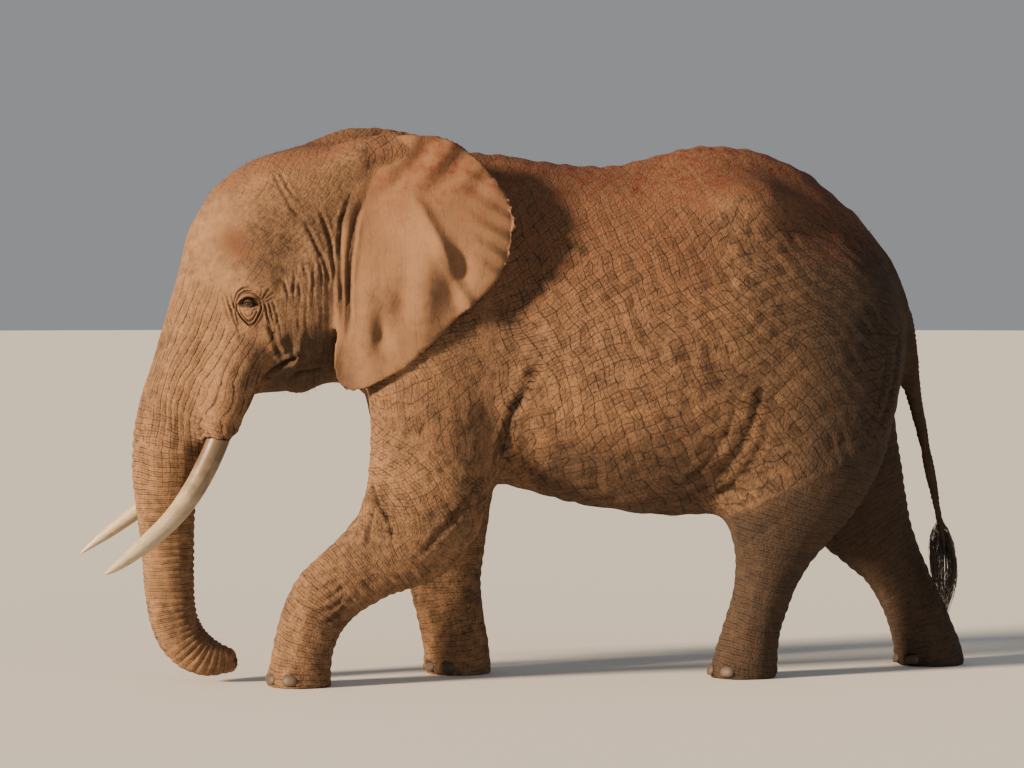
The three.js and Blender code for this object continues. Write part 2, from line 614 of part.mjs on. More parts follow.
// Eyes: set in from the skin where it crosses their place.
const skinAt = ({ x, z }) => {
  let [inner, outer] = [0, 600];
  while (outer - inner > 0.1) {
    const y = (inner + outer) / 2;
    if (flesh(x, -y, z) < 0) inner = y;
    else outer = y;
  }
  return inner;
};
const eyeAway = skinAt(EYE_PLACE) - EYE_SUNK;
for (const [name, side] of [['eye_left', -1], ['eye_right', 1]]) {
  const ball = new THREE.IcosahedronGeometry(EYE_RADIUS, 1);
  ball.translate(EYE_PLACE.x, side * eyeAway, EYE_PLACE.z);
  body.head = body.head.subtract(swollen(ball));
  add(name, ball, EYE);
}

// Tusks, each in its own socket.
for (const side of ['left', 'right']) {
  const tusk = tube(TUSKS[side], 11, 9);
  const socket = swollen(tusk);
  body.head = body.head.subtract(socket);
  body.trunk_upper = body.trunk_upper.subtract(socket);
  add(`tusk_${side}`, tusk, IVORY);
}
for (const [name, made] of Object.entries(body)) add(name, backTo(without(made, [])), HIDE);
add('tail_tuft', backTo(keep(solid(tube(TUFT, 7, 8)), CUTS.tail_end)), HAIR);

// Toenails: small plates on the front edge of each foot, clear of the floor.
for (const name of Object.keys(BENDS)) {
  const foot = body[`${name}_lower`];
  const sole = foot.trimByPlane([0, 0, -1], -NAIL_HEIGHT).boundingBox();
  const middle = [0, 1].map((k) => (sole.min[k] + sole.max[k]) / 2);
  const round = [0, 1].map((k) => (sole.max[k] - sole.min[k]) / 2 - 4);
  const out = name.endsWith('left') ? -1 : 1;
  NAILS[name.split('_')[0]].forEach((degrees, i) => {
    const turn = THREE.MathUtils.degToRad(degrees);
    const way = [-Math.cos(turn), out * Math.sin(turn)];
    const plate = new THREE.SphereGeometry(1, 6, 4).rotateX(Math.PI / 2).scale(...NAIL_HALF)
      .rotateZ(Math.atan2(way[1], way[0]))
      .translate(middle[0] + round[0] * way[0], middle[1] + round[1] * way[1], NAIL_HEIGHT);
    add(`toenail_${name}_${i + 1}`, backTo(without(solid(plate), hideOf([`${name}_lower`]))), NAIL);
  });
}

// Ears: thin curved sheets, rooted in the side of the head and lying back over the neck.
for (const [name, side] of [['left', -1], ['right', 1]]) {
  const sheet = solid(ear(side, EAR_SET[name]));
  add(`ear_${name}`, backTo(without(sheet, hideOf(['head', 'neck', 'chest']))), EAR_HIDE);
}

// The part stands with the middle of its footprint at the origin.
const reach = new THREE.Box3().setFromObject(elephant);
const stand = reach.getCenter(new THREE.Vector3()).setZ(0);
for (const mesh of elephant.children) mesh.geometry.translate(-stand.x, -stand.y, 0);

export default elephant;
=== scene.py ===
# The looks of an African bush elephant cow, walking with her head low, on the frame of her solids.
# Metres, +Z up. She faces -X, and her left flank is towards -Y.
import math

import bmesh
import bpy
import numpy as np
from bpy.props import FloatProperty, FloatVectorProperty, IntProperty, PointerProperty
from mathutils import Euler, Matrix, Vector
from mathutils.bvhtree import BVHTree


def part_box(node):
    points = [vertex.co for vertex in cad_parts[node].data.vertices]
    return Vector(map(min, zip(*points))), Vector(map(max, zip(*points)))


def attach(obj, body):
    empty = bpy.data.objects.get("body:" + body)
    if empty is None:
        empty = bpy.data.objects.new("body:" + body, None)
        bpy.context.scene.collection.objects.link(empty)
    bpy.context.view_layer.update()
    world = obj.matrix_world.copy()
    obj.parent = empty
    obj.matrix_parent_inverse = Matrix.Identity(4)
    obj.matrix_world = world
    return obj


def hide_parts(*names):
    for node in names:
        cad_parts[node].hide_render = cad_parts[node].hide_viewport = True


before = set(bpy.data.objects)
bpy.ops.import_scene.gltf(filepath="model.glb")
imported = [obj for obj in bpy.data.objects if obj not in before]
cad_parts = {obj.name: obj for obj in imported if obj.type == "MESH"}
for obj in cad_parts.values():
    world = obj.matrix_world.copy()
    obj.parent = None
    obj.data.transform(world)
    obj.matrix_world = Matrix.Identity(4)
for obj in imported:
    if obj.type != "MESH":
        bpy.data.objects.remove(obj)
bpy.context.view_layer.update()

bl_info = {
    "name": "Bush elephant",
    "version": (1, 0, 0),
    "blender": (4, 5, 0),
    "location": "3D View > Sidebar > Elephant",
    "description": "Dresses the solids of a bush elephant in hide, eyes, ivory, toenails and hair",
    "category": "Object",
}

# ---- places on the body, in metres ----
LEFT, RIGHT = -1, 1
LEGS = ("foreleg_left", "foreleg_right", "hindleg_left", "hindleg_right")
REGIONS = {
    "head": ["head"],
    "neck": ["neck"],
    "chest": ["chest"],
    "barrel": ["barrel"],
    "rump": ["hindquarters"],
    "trunk": ["trunk_upper", "trunk_middle", "trunk_tip"],
    "foreleg": [f"foreleg_{side}_{part}" for side in ("left", "right") for part in ("upper", "lower")],
    "hindleg": [f"hindleg_{side}_{part}" for side in ("left", "right") for part in ("upper", "lower")],
    "tail": ["tail_upper", "tail_lower"],
    "ear": ["ear_left", "ear_right"],
}
FLESH = [node for nodes in REGIONS.values() for node in nodes]
NAILS = sorted(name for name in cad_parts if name.startswith("toenail_"))

# Middle lines: the body from chest to tail root, the trunk from the face to its tip, and each leg downwards.
BODY_LINE = [(-1.25, 0, 1.9), (-0.6, 0, 1.8), (0.1, 0, 1.7), (0.8, 0, 1.65), (1.35, 0, 1.72), (1.8, 0, 1.68)]
TRUNK_LINE = [(-1.25, 0, 2.35), (-1.43, 0, 1.99), (-1.545, 0, 1.73), (-1.66, 0, 1.45), (-1.75, 0, 1.245),
              (-1.796, 0, 1.06), (-1.816, 0, 0.88), (-1.808, 0, 0.68), (-1.8, 0, 0.5), (-1.788, 0, 0.35),
              (-1.746, 0, 0.225), (-1.668, 0, 0.146), (-1.585, 0, 0.112), (-1.5, 0, 0.106)]
LEG_LINES = {
    "foreleg_left": [(-0.42, -0.235, 2.15), (-0.558, -0.262, 1.56), (-0.564, -0.285, 1.08), (-0.656, -0.285, 0.755),
                     (-0.886, -0.262, 0.578), (-1.096, -0.24, 0.405), (-1.178, -0.228, 0.205), (-1.203, -0.225, -0.05)],
    "foreleg_right": [(-0.42, 0.235, 2.15), (-0.526, 0.262, 1.56), (-0.458, 0.285, 1.09), (-0.431, 0.28, 0.8),
                      (-0.424, 0.262, 0.59), (-0.418, 0.244, 0.4), (-0.384, 0.23, 0.2), (-0.363, 0.225, -0.05)],
    "hindleg_left": [(1.32, -0.255, 1.82), (1.284, -0.29, 1.33), (1.209, -0.3, 1.01), (1.129, -0.285, 0.76),
                     (1.086, -0.255, 0.545), (1.044, -0.232, 0.37), (1.0, -0.218, 0.2), (0.966, -0.21, -0.05)],
    "hindleg_right": [(1.33, 0.255, 1.82), (1.424, 0.29, 1.36), (1.544, 0.3, 1.03), (1.669, 0.28, 0.76),
                      (1.809, 0.25, 0.545), (1.899, 0.232, 0.38), (1.966, 0.218, 0.215), (2.03, 0.21, -0.05)],
}
TUSK_LIP = {"left": (-1.592, -0.232, 1.165), "right": (-1.615, 0.232, 1.185)}  # where each tusk leaves the flesh
TRUNK_TIP = np.array((-1.5, 0, 0.106))


# ---- small helpers ----
def linear(code):
    """A colour from its sRGB hex code, as the linear values that shaders take."""
    part = [int(code[i:i + 2], 16) / 255 for i in (1, 3, 5)]
    return tuple(c / 12.92 if c <= 0.04045 else ((c + 0.055) / 1.055) ** 2.4 for c in part) + (1.0,)


def middle(node):
    """The middle of a node's box."""
    low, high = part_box(node)
    return np.array((low + high) / 2)


def ramp(low, high, value):
    """0 below low, 1 above high, and a smooth rise between them."""
    t = np.clip((value - low) / (high - low), 0, 1)
    return t * t * (3 - 2 * t)


def window(low, high, soft, value):
    """1 between low and high, fading to 0 within this much outside them."""
    return ramp(low - soft, low, value) * (1 - ramp(high, high + soft, value))


def hashed(seed, *cell):
    """A fixed random number from 0 to 1 for each whole-numbered place."""
    n = np.full(np.shape(cell[0]), seed * 974634777, np.int64)
    for value, odd in zip(cell, (374761393, 668265263, 1440662683)):
        n = n + value * odd
    n = n & 0xFFFFFFFF
    n = ((n ^ (n >> 13)) * 1274126177) & 0xFFFFFFFF
    n = ((n ^ (n >> 16)) * 2246822519) & 0xFFFFFFFF
    return (n ^ (n >> 15)).astype(np.float32) / np.float32(0xFFFFFFFF)


def noise(place, size, seed=0):
    """Soft noise from -1 to 1, with lumps about this size."""
    q = place / size
    base = np.floor(q).astype(np.int64)
    f = (q - base).astype(np.float32)
    f = f * f * (3 - 2 * f)
    total = np.zeros(len(q), np.float32)
    for corner in np.ndindex(*(2,) * q.shape[1]):
        weight = np.prod([f[:, n] if c else 1 - f[:, n] for n, c in enumerate(corner)], axis=0)
        total += weight * hashed(seed, *(base[:, n] + c for n, c in enumerate(corner)))
    return total * 2 - 1


def turned(lie, degrees):
    """A flat lay turned by this angle."""
    c, s = math.cos(math.radians(degrees)), math.sin(math.radians(degrees))
    return lie @ np.array([[c, s], [-s, c]])


def curve_through(points, steps=8):
    """A smooth line through the points, with this many short steps between each two."""
    p = np.array(points, float)
    p = np.vstack([2 * p[0] - p[1], p, 2 * p[-1] - p[-2]])
    line = []
    for i in range(1, len(p) - 2):
        for t in np.arange(steps) / steps:
            a, b, c, d = p[i - 1:i + 3]
            line.append(0.5 * (2 * b + (c - a) * t + (2 * a - 5 * b + 4 * c - d) * t ** 2
                               + (3 * b - a - 3 * c + d) * t ** 3))
    line.append(p[-2])
    return np.array(line)


def along_line(place, line):
    """For each place: how far it is from the line, how far along its nearest point is, and the step that holds it."""
    best = np.full(len(place), 9e9)
    run = np.zeros(len(place))
    which = np.zeros(len(place), int)
    start = 0.0
    for n, (a, b) in enumerate(zip(line[:-1], line[1:])):
        step = b - a
        long = np.linalg.norm(step)
        t = np.clip((place - a) @ step / long ** 2, 0, 1)
        away = np.linalg.norm(place - a - t[:, None] * step, axis=1)
        near = away < best
        best = np.where(near, away, best)
        run = np.where(near, start + t * long, run)
        which = np.where(near, n, which)
        start += long
    return best, run, which


def wrapped(place, line, radius):
    """A flat lay round a middle line: the way round from its front or underside, and the way along it.
    It is mirrored at the front and the back, so that it has no seam."""
    away, run, which = along_line(place, line)
    axes = np.diff(line, axis=0)
    axes /= np.linalg.norm(axes, axis=1)[:, None]
    axis = axes[which]
    across = np.array([0.0, 1.0, 0.0]) - axis * axis[:, 1:2]
    across /= np.linalg.norm(across, axis=1)[:, None]
    fore = np.cross(across, axis)
    offset = place - line[which]
    turn = np.abs(np.arctan2((offset * across).sum(1), (offset * fore).sum(1)))
    return np.stack([turn * radius, run], axis=1)


# ---- meshes ----
def worked(bm, steps):
    """The mesh that a bmesh becomes under these modifiers, each a kind and its settings."""
    mesh = bpy.data.meshes.new("work")
    bm.to_mesh(mesh)
    bm.free()
    return modified(mesh, steps)


def modified(mesh, steps, kept=None):
    """The mesh that this one becomes under these modifiers. kept is how firmly each vertex holds in a Decimate."""
    thing = bpy.data.objects.new("work", mesh)
    bpy.context.scene.collection.objects.link(thing)
    if kept is not None:
        group = thing.vertex_groups.new(name="kept")
        for level in np.unique(kept):
            group.add(np.nonzero(kept == level)[0].tolist(), float(level), "ADD")
    for kind, settings in steps:
        modifier = thing.modifiers.new(kind.lower(), kind)
        for key, value in settings.items():
            setattr(modifier, key, value)
    graph = bpy.context.evaluated_depsgraph_get()
    made = bpy.data.meshes.new_from_object(thing.evaluated_get(graph), preserve_all_data_layers=True, depsgraph=graph)
    bpy.data.objects.remove(thing)
    bpy.data.meshes.remove(mesh)
    return made


def copy_of(node):
    """A bmesh of a node, its loose triangles joined."""
    bm = bmesh.new()
    bm.from_mesh(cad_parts[node].data)
    bmesh.ops.remove_doubles(bm, verts=bm.verts, dist=2e-5)
    return bm


def rounded(node, levels):
    """A copy of a node, subdivided into a smooth surface."""
    bm = copy_of(node)
    bmesh.ops.join_triangles(bm, faces=bm.faces, angle_face_threshold=0.7, angle_shape_threshold=0.9)
    return worked(bm, [("SUBSURF", {"levels": levels, "render_levels": levels})])


def places(mesh):
    flat = np.empty(len(mesh.vertices) * 3, np.float32)
    mesh.vertices.foreach_get("co", flat)
    return flat.reshape(-1, 3).astype(float)


def set_places(mesh, place):
    mesh.vertices.foreach_set("co", place.astype(np.float32).ravel())
    mesh.update()


def outward(mesh):
    """The unit normal at each vertex."""
    flat = np.empty(len(mesh.vertices) * 3, np.float32)
    mesh.vertex_normals.foreach_get("vector", flat)
    return flat.reshape(-1, 3).astype(float)


def neighbours(mesh):
    flat = np.empty(len(mesh.edges) * 2, np.int32)
    mesh.edges.foreach_get("vertices", flat)
    return flat.reshape(-1, 2)


def evened(value, edges, rounds, rate=1.0):
    """Values at the vertices, each moved towards the mean of its neighbours by each round's share."""
    count = len(value)
    a, b = edges[:, 0], edges[:, 1]
    valence = np.maximum(np.bincount(a, minlength=count) + np.bincount(b, minlength=count), 1)
    flat = value.reshape(count, -1).astype(float)
    for step in rounds:
        for n in range(flat.shape[1]):
            v = flat[:, n]
            total = np.bincount(a, v[b], count) + np.bincount(b, v[a], count)
            flat[:, n] = v + step * rate * (total / valence - v)
    return flat.reshape(value.shape)


def store(mesh, name, value):
    kind = "FLOAT" if value.ndim == 1 else "FLOAT_VECTOR"
    layer = mesh.attributes.get(name) or mesh.attributes.new(name, kind, "POINT")
    layer.data.foreach_set("value" if value.ndim == 1 else "vector", value.astype(np.float32).ravel())


def read(mesh, name):
    flat = np.empty(len(mesh.vertices), np.float32)
    mesh.attributes[name].data.foreach_get("value", flat)
    return flat.astype(float)


def shown(name, mesh, material, slot, *nodes):
    """A finished piece: smooth, with its material, riding on the body and standing for these nodes."""
    mesh.name = name
    mesh.shade_smooth()
    mesh.materials.clear()
    mesh.materials.append(material)
    piece = bpy.data.objects.new(name, mesh)
    bpy.context.scene.collection.objects.link(piece)
    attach(piece, "root")
    if nodes:
        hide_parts(*nodes)
    return piece


# ---- the hide: its net ----
EAR_SWELL = 0.005  # the ears are this much fatter while the net is made, so that it holds their thin rims


def first_net(size):
    """A closed net of quads over all the flesh, with the eyeballs and the tusks' roots filled in."""
    bm = bmesh.new()
    for node in FLESH + ["eye_left", "eye_right"]:
        if node in REGIONS["ear"]:
            smooth = rounded(node, 2)
            place = places(smooth) + EAR_SWELL * outward(smooth)
            set_places(smooth, place)
            bm.from_mesh(smooth)
            bpy.data.meshes.remove(smooth)
        else:
            bm.from_mesh(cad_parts[node].data)
    for side, lip in TUSK_LIP.items():
        root = copy_of(f"tusk_{side}")
        geometry = [*root.verts, *root.edges, *root.faces]
        cut = bmesh.ops.bisect_plane(root, geom=geometry, plane_co=lip, plane_no=(0.4, 0, 0.92), clear_inner=True)
        rim = [item for item in cut["geom_cut"] if isinstance(item, bmesh.types.BMEdge)]
        bmesh.ops.holes_fill(root, edges=rim)
        part = bpy.data.meshes.new("root")
        root.to_mesh(part)
        root.free()
        bm.from_mesh(part)
        bpy.data.meshes.remove(part)
    bmesh.ops.remove_doubles(bm, verts=bm.verts, dist=2e-5)
    return worked(bm, [("REMESH", {"mode": "VOXEL", "voxel_size": size, "adaptivity": 0.0})])


def region_shares(place, edges):
    """How much each vertex belongs to each region, fading over a few centimetres where two meet."""
    bm = bmesh.new()
    last = []
    for nodes in REGIONS.values():
        for node in nodes:
            bm.from_mesh(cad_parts[node].data)
        last.append(len(bm.faces))
    tree = BVHTree.FromBMesh(bm)
    bm.free()
    face = np.array([tree.find_nearest(p)[2] for p in place])
    which = np.searchsorted(last, face, side="right")
    return {name: evened((which == n).astype(float), edges, (0.8,) * 24) for n, name in enumerate(REGIONS)}


def refine(mesh, chosen):
    """The mesh with each quad whose corners are all chosen parted into four."""
    bm = bmesh.new()
    bm.from_mesh(mesh)
    edges = {edge for face in bm.faces if all(chosen[v.index] for v in face.verts) for edge in face.edges}
    bmesh.ops.subdivide_edges(bm, edges=list(edges), cuts=1, use_grid_fill=True)
    bm.to_mesh(mesh)
    bm.free()


class Hide:
    """The hide while it is shaped: a net, how far each vertex is to be raised, and how deep in a fold it lies, which
    sets how much shade is painted there.
    """

    def __init__(self, mesh):
        self.mesh = mesh
        self.edges = neighbours(mesh)
        self.place = places(mesh)
        self.normal = outward(mesh)
        self.share = {name: read(mesh, name) for name in REGIONS}
        self.height = np.zeros(len(self.place))
        self.crease = np.zeros(len(self.place))

    def settle(self):
        """Raises the vertices along their normals by their heights."""
        self.put(self.place + self.normal * self.height[:, None])
        self.height[:] = 0

    def put(self, place):
        set_places(self.mesh, place)
        self.place = place
        self.normal = outward(self.mesh)


# ---- the hide: ways of shaping it ----
def mound(hide, at, reach, far, sides=(LEFT, RIGHT)):
    """Raises the hide round a place (x, distance from the midline, z), or sinks it where far is below 0."""
    for side in sides:
        away = (hide.place - np.array((at[0], side * at[1], at[2]))) / np.array(reach)
        hide.height += far * np.exp(-(away ** 2).sum(1))


def fold(hide, path, width, depth, sides=(LEFT, RIGHT), lips=0.45, shy=0.25):
    """A crease along a path of (x, z) places down one flank, with the hide swollen along both its sides."""
    line = curve_through([(x, 0, z) for x, z in path])
    low, high = line.min(0) - 4 * width, line.max(0) + 4 * width
    long = np.linalg.norm(np.diff(line, axis=0), axis=1).sum()
    for side in sides:
        p = hide.place
        near = (p[:, 0] > low[0]) & (p[:, 0] < high[0]) & (p[:, 2] > low[2]) & (p[:, 2] < high[2])
        near &= hide.normal[:, 1] * side > 0.1
        near = np.nonzero(near)[0]
        flat = p[near] * (1, 0, 1)
        flat[:, 0] += 0.3 * width * noise(p[near], 6 * width, 11)
        flat[:, 2] += 0.3 * width * noise(p[near], 6 * width, 12)
        away, run, _ = along_line(flat, line)
        w = away / width
        strong = ramp(0, shy * long, run) * (1 - ramp((1 - shy) * long, long, run))
        strong = strong * ramp(0.1, 0.45, hide.normal[near, 1] * side)
        hide.height[near] += depth * strong * (lips * np.exp(-((w - 1.9) / 0.9) ** 2) - np.exp(-w ** 2))
        # painted shade along the fold's floor
        hide.crease[near] = np.maximum(hide.crease[near], strong * np.exp(-w ** 2) * min(0.8, 60 * depth))


EYE_RADIUS = 0.02
LID_OPENING = (0.0182, 0.0105)  # half the width and half the height between the lids
LID_TILT = math.radians(8)  # the front corner is the lower one
SOCKET = (0.060, 0.083)  # half the width and height of the fold that rings the eye and the pouch under it
SOCKET_DROP = 0.020  # how far that ring's middle is below the eye's


def eye_axes(hide, at, side):
    """Forward, up and outward at an eye, square to the hide round it."""
    near = np.linalg.norm(hide.place - at, axis=1) < 0.075
    out = hide.normal[near].mean(0)
    out /= np.linalg.norm(out)
    ahead = np.array((-1.0, 0.0, 0.0)) - out * -out[0]
    ahead /= np.linalg.norm(ahead)
    up = np.cross(out, ahead) * side
    turn = LID_TILT
    return ahead * math.cos(turn) - up * math.sin(turn), up * math.cos(turn) + ahead * math.sin(turn), out


def eyelids(hide, node, side):
    """Thick lids over the eyeball, the hood above, the pouch below, and the folds that ring them."""
    at = middle(node)
    ahead, up, out = eye_axes(hide, at, side)
    near = np.nonzero(np.linalg.norm(hide.place - at, axis=1) < 0.20)[0]
    away = hide.place[near] - at
    a, b, h = away @ ahead, away @ up, away @ out
    wave = 0.0026 * noise(hide.place[near], 0.028, 31) + 0.0012 * noise(hide.place[near], 0.011, 32)
    # the ring round the eye and its pouch, drawn in to a point below
    low = (b + SOCKET_DROP) / SOCKET[1]
    narrow = 1 - 0.58 * np.clip(-low, 0, 1.3) ** 1.3
    ring = np.hypot(a / (SOCKET[0] * narrow), low) + wave / 0.07
    rise = np.zeros(len(near))
    crease = np.zeros(len(near))

    def groove(distance, wide, deep, there, lips=0.4):
        nonlocal rise, crease
        there = there * (0.8 + 0.3 * noise(hide.place[near], 0.045, 37))
        trough = np.exp(-(distance / wide) ** 2) * there
        rise += deep * (lips * np.exp(-((np.abs(distance) - 2 * wide) / wide) ** 2) * there - trough)
        # painted shade on each groove's floor
        crease = np.maximum(crease, trough * min(1, deep / 0.005))

    below = 1 - ramp(-0.5, 0.5, low)
    groove((ring - 1) * 0.068, 0.0056, 0.0140, 0.35 + 0.65 * below)
    groove((ring - 1.22) * 0.068, 0.0040, 0.0060, ramp(-0.4, 0.5, low) * ramp(-0.5, 0.2, a / 0.06), 0.5)
    pouch = (ring < 1.0) * (1 - ramp(-0.30, -0.10, low))
    groove((ring - 0.72) * 0.068, 0.0036, 0.0046, pouch)
    groove((ring - 0.44) * 0.068, 0.0034, 0.0024, pouch)
    # the recess in which the eye lies, between the hood's edge and the pouch
    wide = np.clip(1 - (np.abs(a + 0.006) / 0.060) ** 2.2, 0, 1)
    recess = wide ** 0.5 * (1 - ramp(0.7, 1.15, np.abs(b - 0.009 + 3.0 * a ** 2) / (0.004 + 0.021 * wide)))
    rise -= 0.013 * recess
    edge = b - 0.037 + 9.0 * (a + 0.004) ** 2 + wave
    span = np.exp(-(a / 0.054) ** 6)
    rise += 0.015 * span * np.exp(-((edge - 0.004) / 0.0075) ** 2)
    groove(edge - 0.0175, 0.0032, 0.0060, span)
    groove(edge - 0.0270, 0.0030, 0.0045, span * (a > -0.03))
    rise += 0.014 * np.exp(-(a / 0.034) ** 2 - ((b + 0.052) / 0.028) ** 2)
    rise += 0.006 * np.exp(-(a / 0.036) ** 4 - ((b + 0.024 - 3 * a ** 2) / 0.0055) ** 2)
    # the brow behind it and the hollow behind that
    rise += 0.012 * np.exp(-((a + 0.095) / 0.055) ** 2 - ((b - 0.060) / 0.030) ** 2)
    rise -= 0.012 * np.exp(-((a + 0.165) / 0.026) ** 2 - ((b - 0.085) / 0.035) ** 2)
    # folds that hang before and behind the eye, and those that fan out from its rear corner
    for start, lean, low_end, deep in ((0.072, 0.14, -0.075, 0.0046), (0.094, 0.24, -0.120, 0.0054),
                                       (0.119, 0.20, -0.060, 0.0036)):
        groove(a - start - lean * b + 2 * wave, 0.0048, deep, window(low_end, 0.030, 0.045, b))
    for start, lean, low_end, deep in ((-0.072, 0.14, -0.110, 0.0070), (-0.097, 0.06, -0.080, 0.0052),
                                       (-0.117, 0.10, -0.125, 0.0060)):
        groove(a - start - lean * b + 2 * wave, 0.0052, deep, window(low_end, -0.020, 0.032, b))
    for angle, deep in ((-4, 0.0042), (17, 0.0036), (36, 0.0044), (60, 0.0026)):
        c, d = math.cos(math.radians(angle)), math.sin(math.radians(angle))
        out_along = -(a + 0.052) * c + (b - 0.004) * d
        beside = (a + 0.052) * d + (b - 0.004) * c
        groove(beside + 1.5 * wave - 2.6 * out_along ** 2, 0.0040, deep, window(0.022, 0.070, 0.020, out_along))
    h = h + rise
    # the lids, close over the ball, parted by an almond
    r = np.hypot(a, b)
    almond = (a / LID_OPENING[0]) ** 2 + np.abs(b - 0.0015) / LID_OPENING[1]
    ball = np.sqrt(np.maximum(EYE_RADIUS ** 2 - r ** 2, 0))
    lid = 0.0024 + 0.0026 * ramp(1.0, 2.2, almond) + 0.0018 * ramp(0, 0.01, b)
    dome = np.sqrt(np.maximum((EYE_RADIUS + lid) ** 2 - r ** 2, 0))
    inside = 1 - ramp(0.84, 1.10, almond)
    top = np.where(r < EYE_RADIUS + 0.010, np.maximum(np.minimum(h, 0.0150), dome), h)
    wanted = top * (1 - inside) + (ball - 0.0035) * inside
    close = 1 - ramp(EYE_RADIUS + 0.002, EYE_RADIUS + 0.014, r)
    # painted shade: the lid opening and the recess under the hood are darkened, as the hood's shadow
    crease = np.maximum(crease, 1.1 * (1 - ramp(1.0, 1.35, almond)))
    crease = np.maximum(crease, (0.95 - 0.35 * np.exp(-(r / 0.019) ** 4)) * recess)
    hide.crease[near] = np.maximum(hide.crease[near], crease)
    place = hide.place.copy()
    place[near] += ((wanted * close + h * (1 - close)) - away @ out)[:, None] * out
    hide.put(place)


def tusk_lips(hide):
    """A fold of hide hugging each tusk where it leaves the flesh."""
    for side, sign in (("left", LEFT), ("right", RIGHT)):
        bm = copy_of(f"tusk_{side}")
        tree = BVHTree.FromBMesh(bm)
        bm.free()
        lip = np.array(TUSK_LIP[side])
        near = np.nonzero(np.linalg.norm(hide.place - lip, axis=1) < 0.2)[0]
        for n in near:
            spot, normal, _, away = tree.find_nearest(hide.place[n])
            away *= 1 if (Vector(hide.place[n]) - spot).dot(normal) > 0 else -1
            hide.height[n] += 0.010 * math.exp(-((away - 0.014) / 0.010) ** 2)
            # painted shade where the hide meets the tusk
            hide.crease[n] = max(hide.crease[n], math.exp(-((away - 0.002) / 0.005) ** 2))


def trunk_tip(hide):
    """Two fingers and two nostrils at the trunk's end, which curls back so that its front is underneath."""
    p = hide.place - TRUNK_TIP
    end = ramp(-0.10, 0.02, p[:, 0]) * np.exp(-(np.linalg.norm(p, axis=1) / 0.16) ** 2)
    for y in (-0.019, 0.019):
        away = (p - (0.03, y, 0.006)) / (0.06, 0.0125, 0.016)
        hole = np.exp(-(away ** 2).sum(1)) * (p[:, 0] > -0.05)
        hide.height -= 0.024 * hole
        # painted shade inside each nostril
        hide.crease = np.maximum(hide.crease, hole)
    for z, far in ((-0.045, 0.012), (0.048, 0.008)):
        away = (p - (0.0, 0, z)) / (0.05, 0.026, 0.022)
        hide.height += far * np.exp(-(away ** 2).sum(1))
    for y in (-0.052, 0.052):
        away = (p - (0.03, y, 0.0)) / (0.05, 0.026, 0.020)
        hide.height -= 0.013 * np.exp(-(away ** 2).sum(1)) * end
    hide.settle()


def forms(hide):
    """The bones and bags of flesh that show through the hide."""
    # head: brow, temple, cheekbone, cheek bags, lower lip
    mound(hide, (-1.36, 0.27, 1.905), (0.10, 0.09, 0.030), 0.012)
    mound(hide, (-1.44, 0.27, 1.885), (0.05, 0.08, 0.024), 0.008)
    mound(hide, (-1.43, 0.28, 2.06), (0.10, 0.12, 0.075), -0.020)
    mound(hide, (-1.50, 0.25, 2.13), (0.06, 0.12, 0.050), -0.010)
    mound(hide, (-1.27, 0.30, 2.00), (0.11, 0.12, 0.10), -0.014)
    mound(hide, (-1.30, 0.30, 1.83), (0.10, 0.10, 0.035), 0.010)
    mound(hide, (-1.29, 0.28, 1.66), (0.06, 0.10, 0.075), 0.014)
    mound(hide, (-1.21, 0.26, 1.57), (0.05, 0.12, 0.060), 0.013)
    mound(hide, (-1.36, 0.22, 1.57), (0.07, 0.12, 0.11), -0.018)
    mound(hide, (-1.17, 0.0, 1.43), (0.055, 0.10, 0.040), 0.022, (LEFT,))
    mound(hide, (-1.24, 0.0, 1.44), (0.022, 0.14, 0.045), -0.014, (LEFT,))
    # a forked lobe that hangs from the cheek
    for x, z in ((-1.303, 1.645), (-1.282, 1.610), (-1.260, 1.575), (-1.238, 1.540), (-1.206, 1.660), (-1.210, 1.620),
                 (-1.216, 1.580), (-1.226, 1.545)):
        mound(hide, (x, 0.28, z), (0.015, 0.12, 0.022), 0.013)
    mound(hide, (-1.252, 0.28, 1.640), (0.020, 0.12, 0.035), -0.010)
    mound(hide, (-1.180, 0.28, 1.600), (0.018, 0.12, 0.060), -0.008)
    # trunk root: the long bulges over the tusk sheaths
    mound(hide, (-1.53, 0.22, 1.42), (0.07, 0.09, 0.24), 0.010)
    mound(hide, (-1.66, 0.19, 1.50), (0.035, 0.09, 0.26), -0.010)
    # shoulder blade, its hollow, the elbow and the chest
    mound(hide, (-0.42, 0.42, 2.18), (0.17, 0.25, 0.22), 0.018)
    mound(hide, (-0.16, 0.48, 2.05), (0.09, 0.25, 0.26), -0.022)
    mound(hide, (-0.62, 0.40, 1.45), (0.12, 0.20, 0.20), 0.016)
    mound(hide, (-0.33, 0.42, 1.18), (0.08, 0.20, 0.20), -0.016)
    # hip bone, the hollow before it, the thigh and the knee
    mound(hide, (1.02, 0.36, 2.28), (0.15, 0.16, 0.085), 0.006)
    mound(hide, (0.80, 0.48, 2.06), (0.18, 0.20, 0.18), -0.018)
    mound(hide, (1.48, 0.36, 2.02), (0.14, 0.20, 0.10), 0.014)
    mound(hide, (1.30, 0.46, 1.55), (0.20, 0.25, 0.28), 0.012)
    # a faint row of ribs
    for n in range(7):
        mound(hide, (-0.02 + 0.115 * n, 0.52, 1.72 - 0.02 * n), (0.028, 0.25, 0.34), 0.0045)
    # the ridge of the back
    spine = np.exp(-(hide.place[:, 1] / 0.045) ** 2) * window(-0.75, 1.55, 0.2, hide.place[:, 0])
    hide.height += 0.010 * spine * (hide.normal[:, 2] > 0.5) * (0.7 + 0.3 * np.sin(hide.place[:, 0] * 2 * math.pi / 0.11))
    hide.settle()


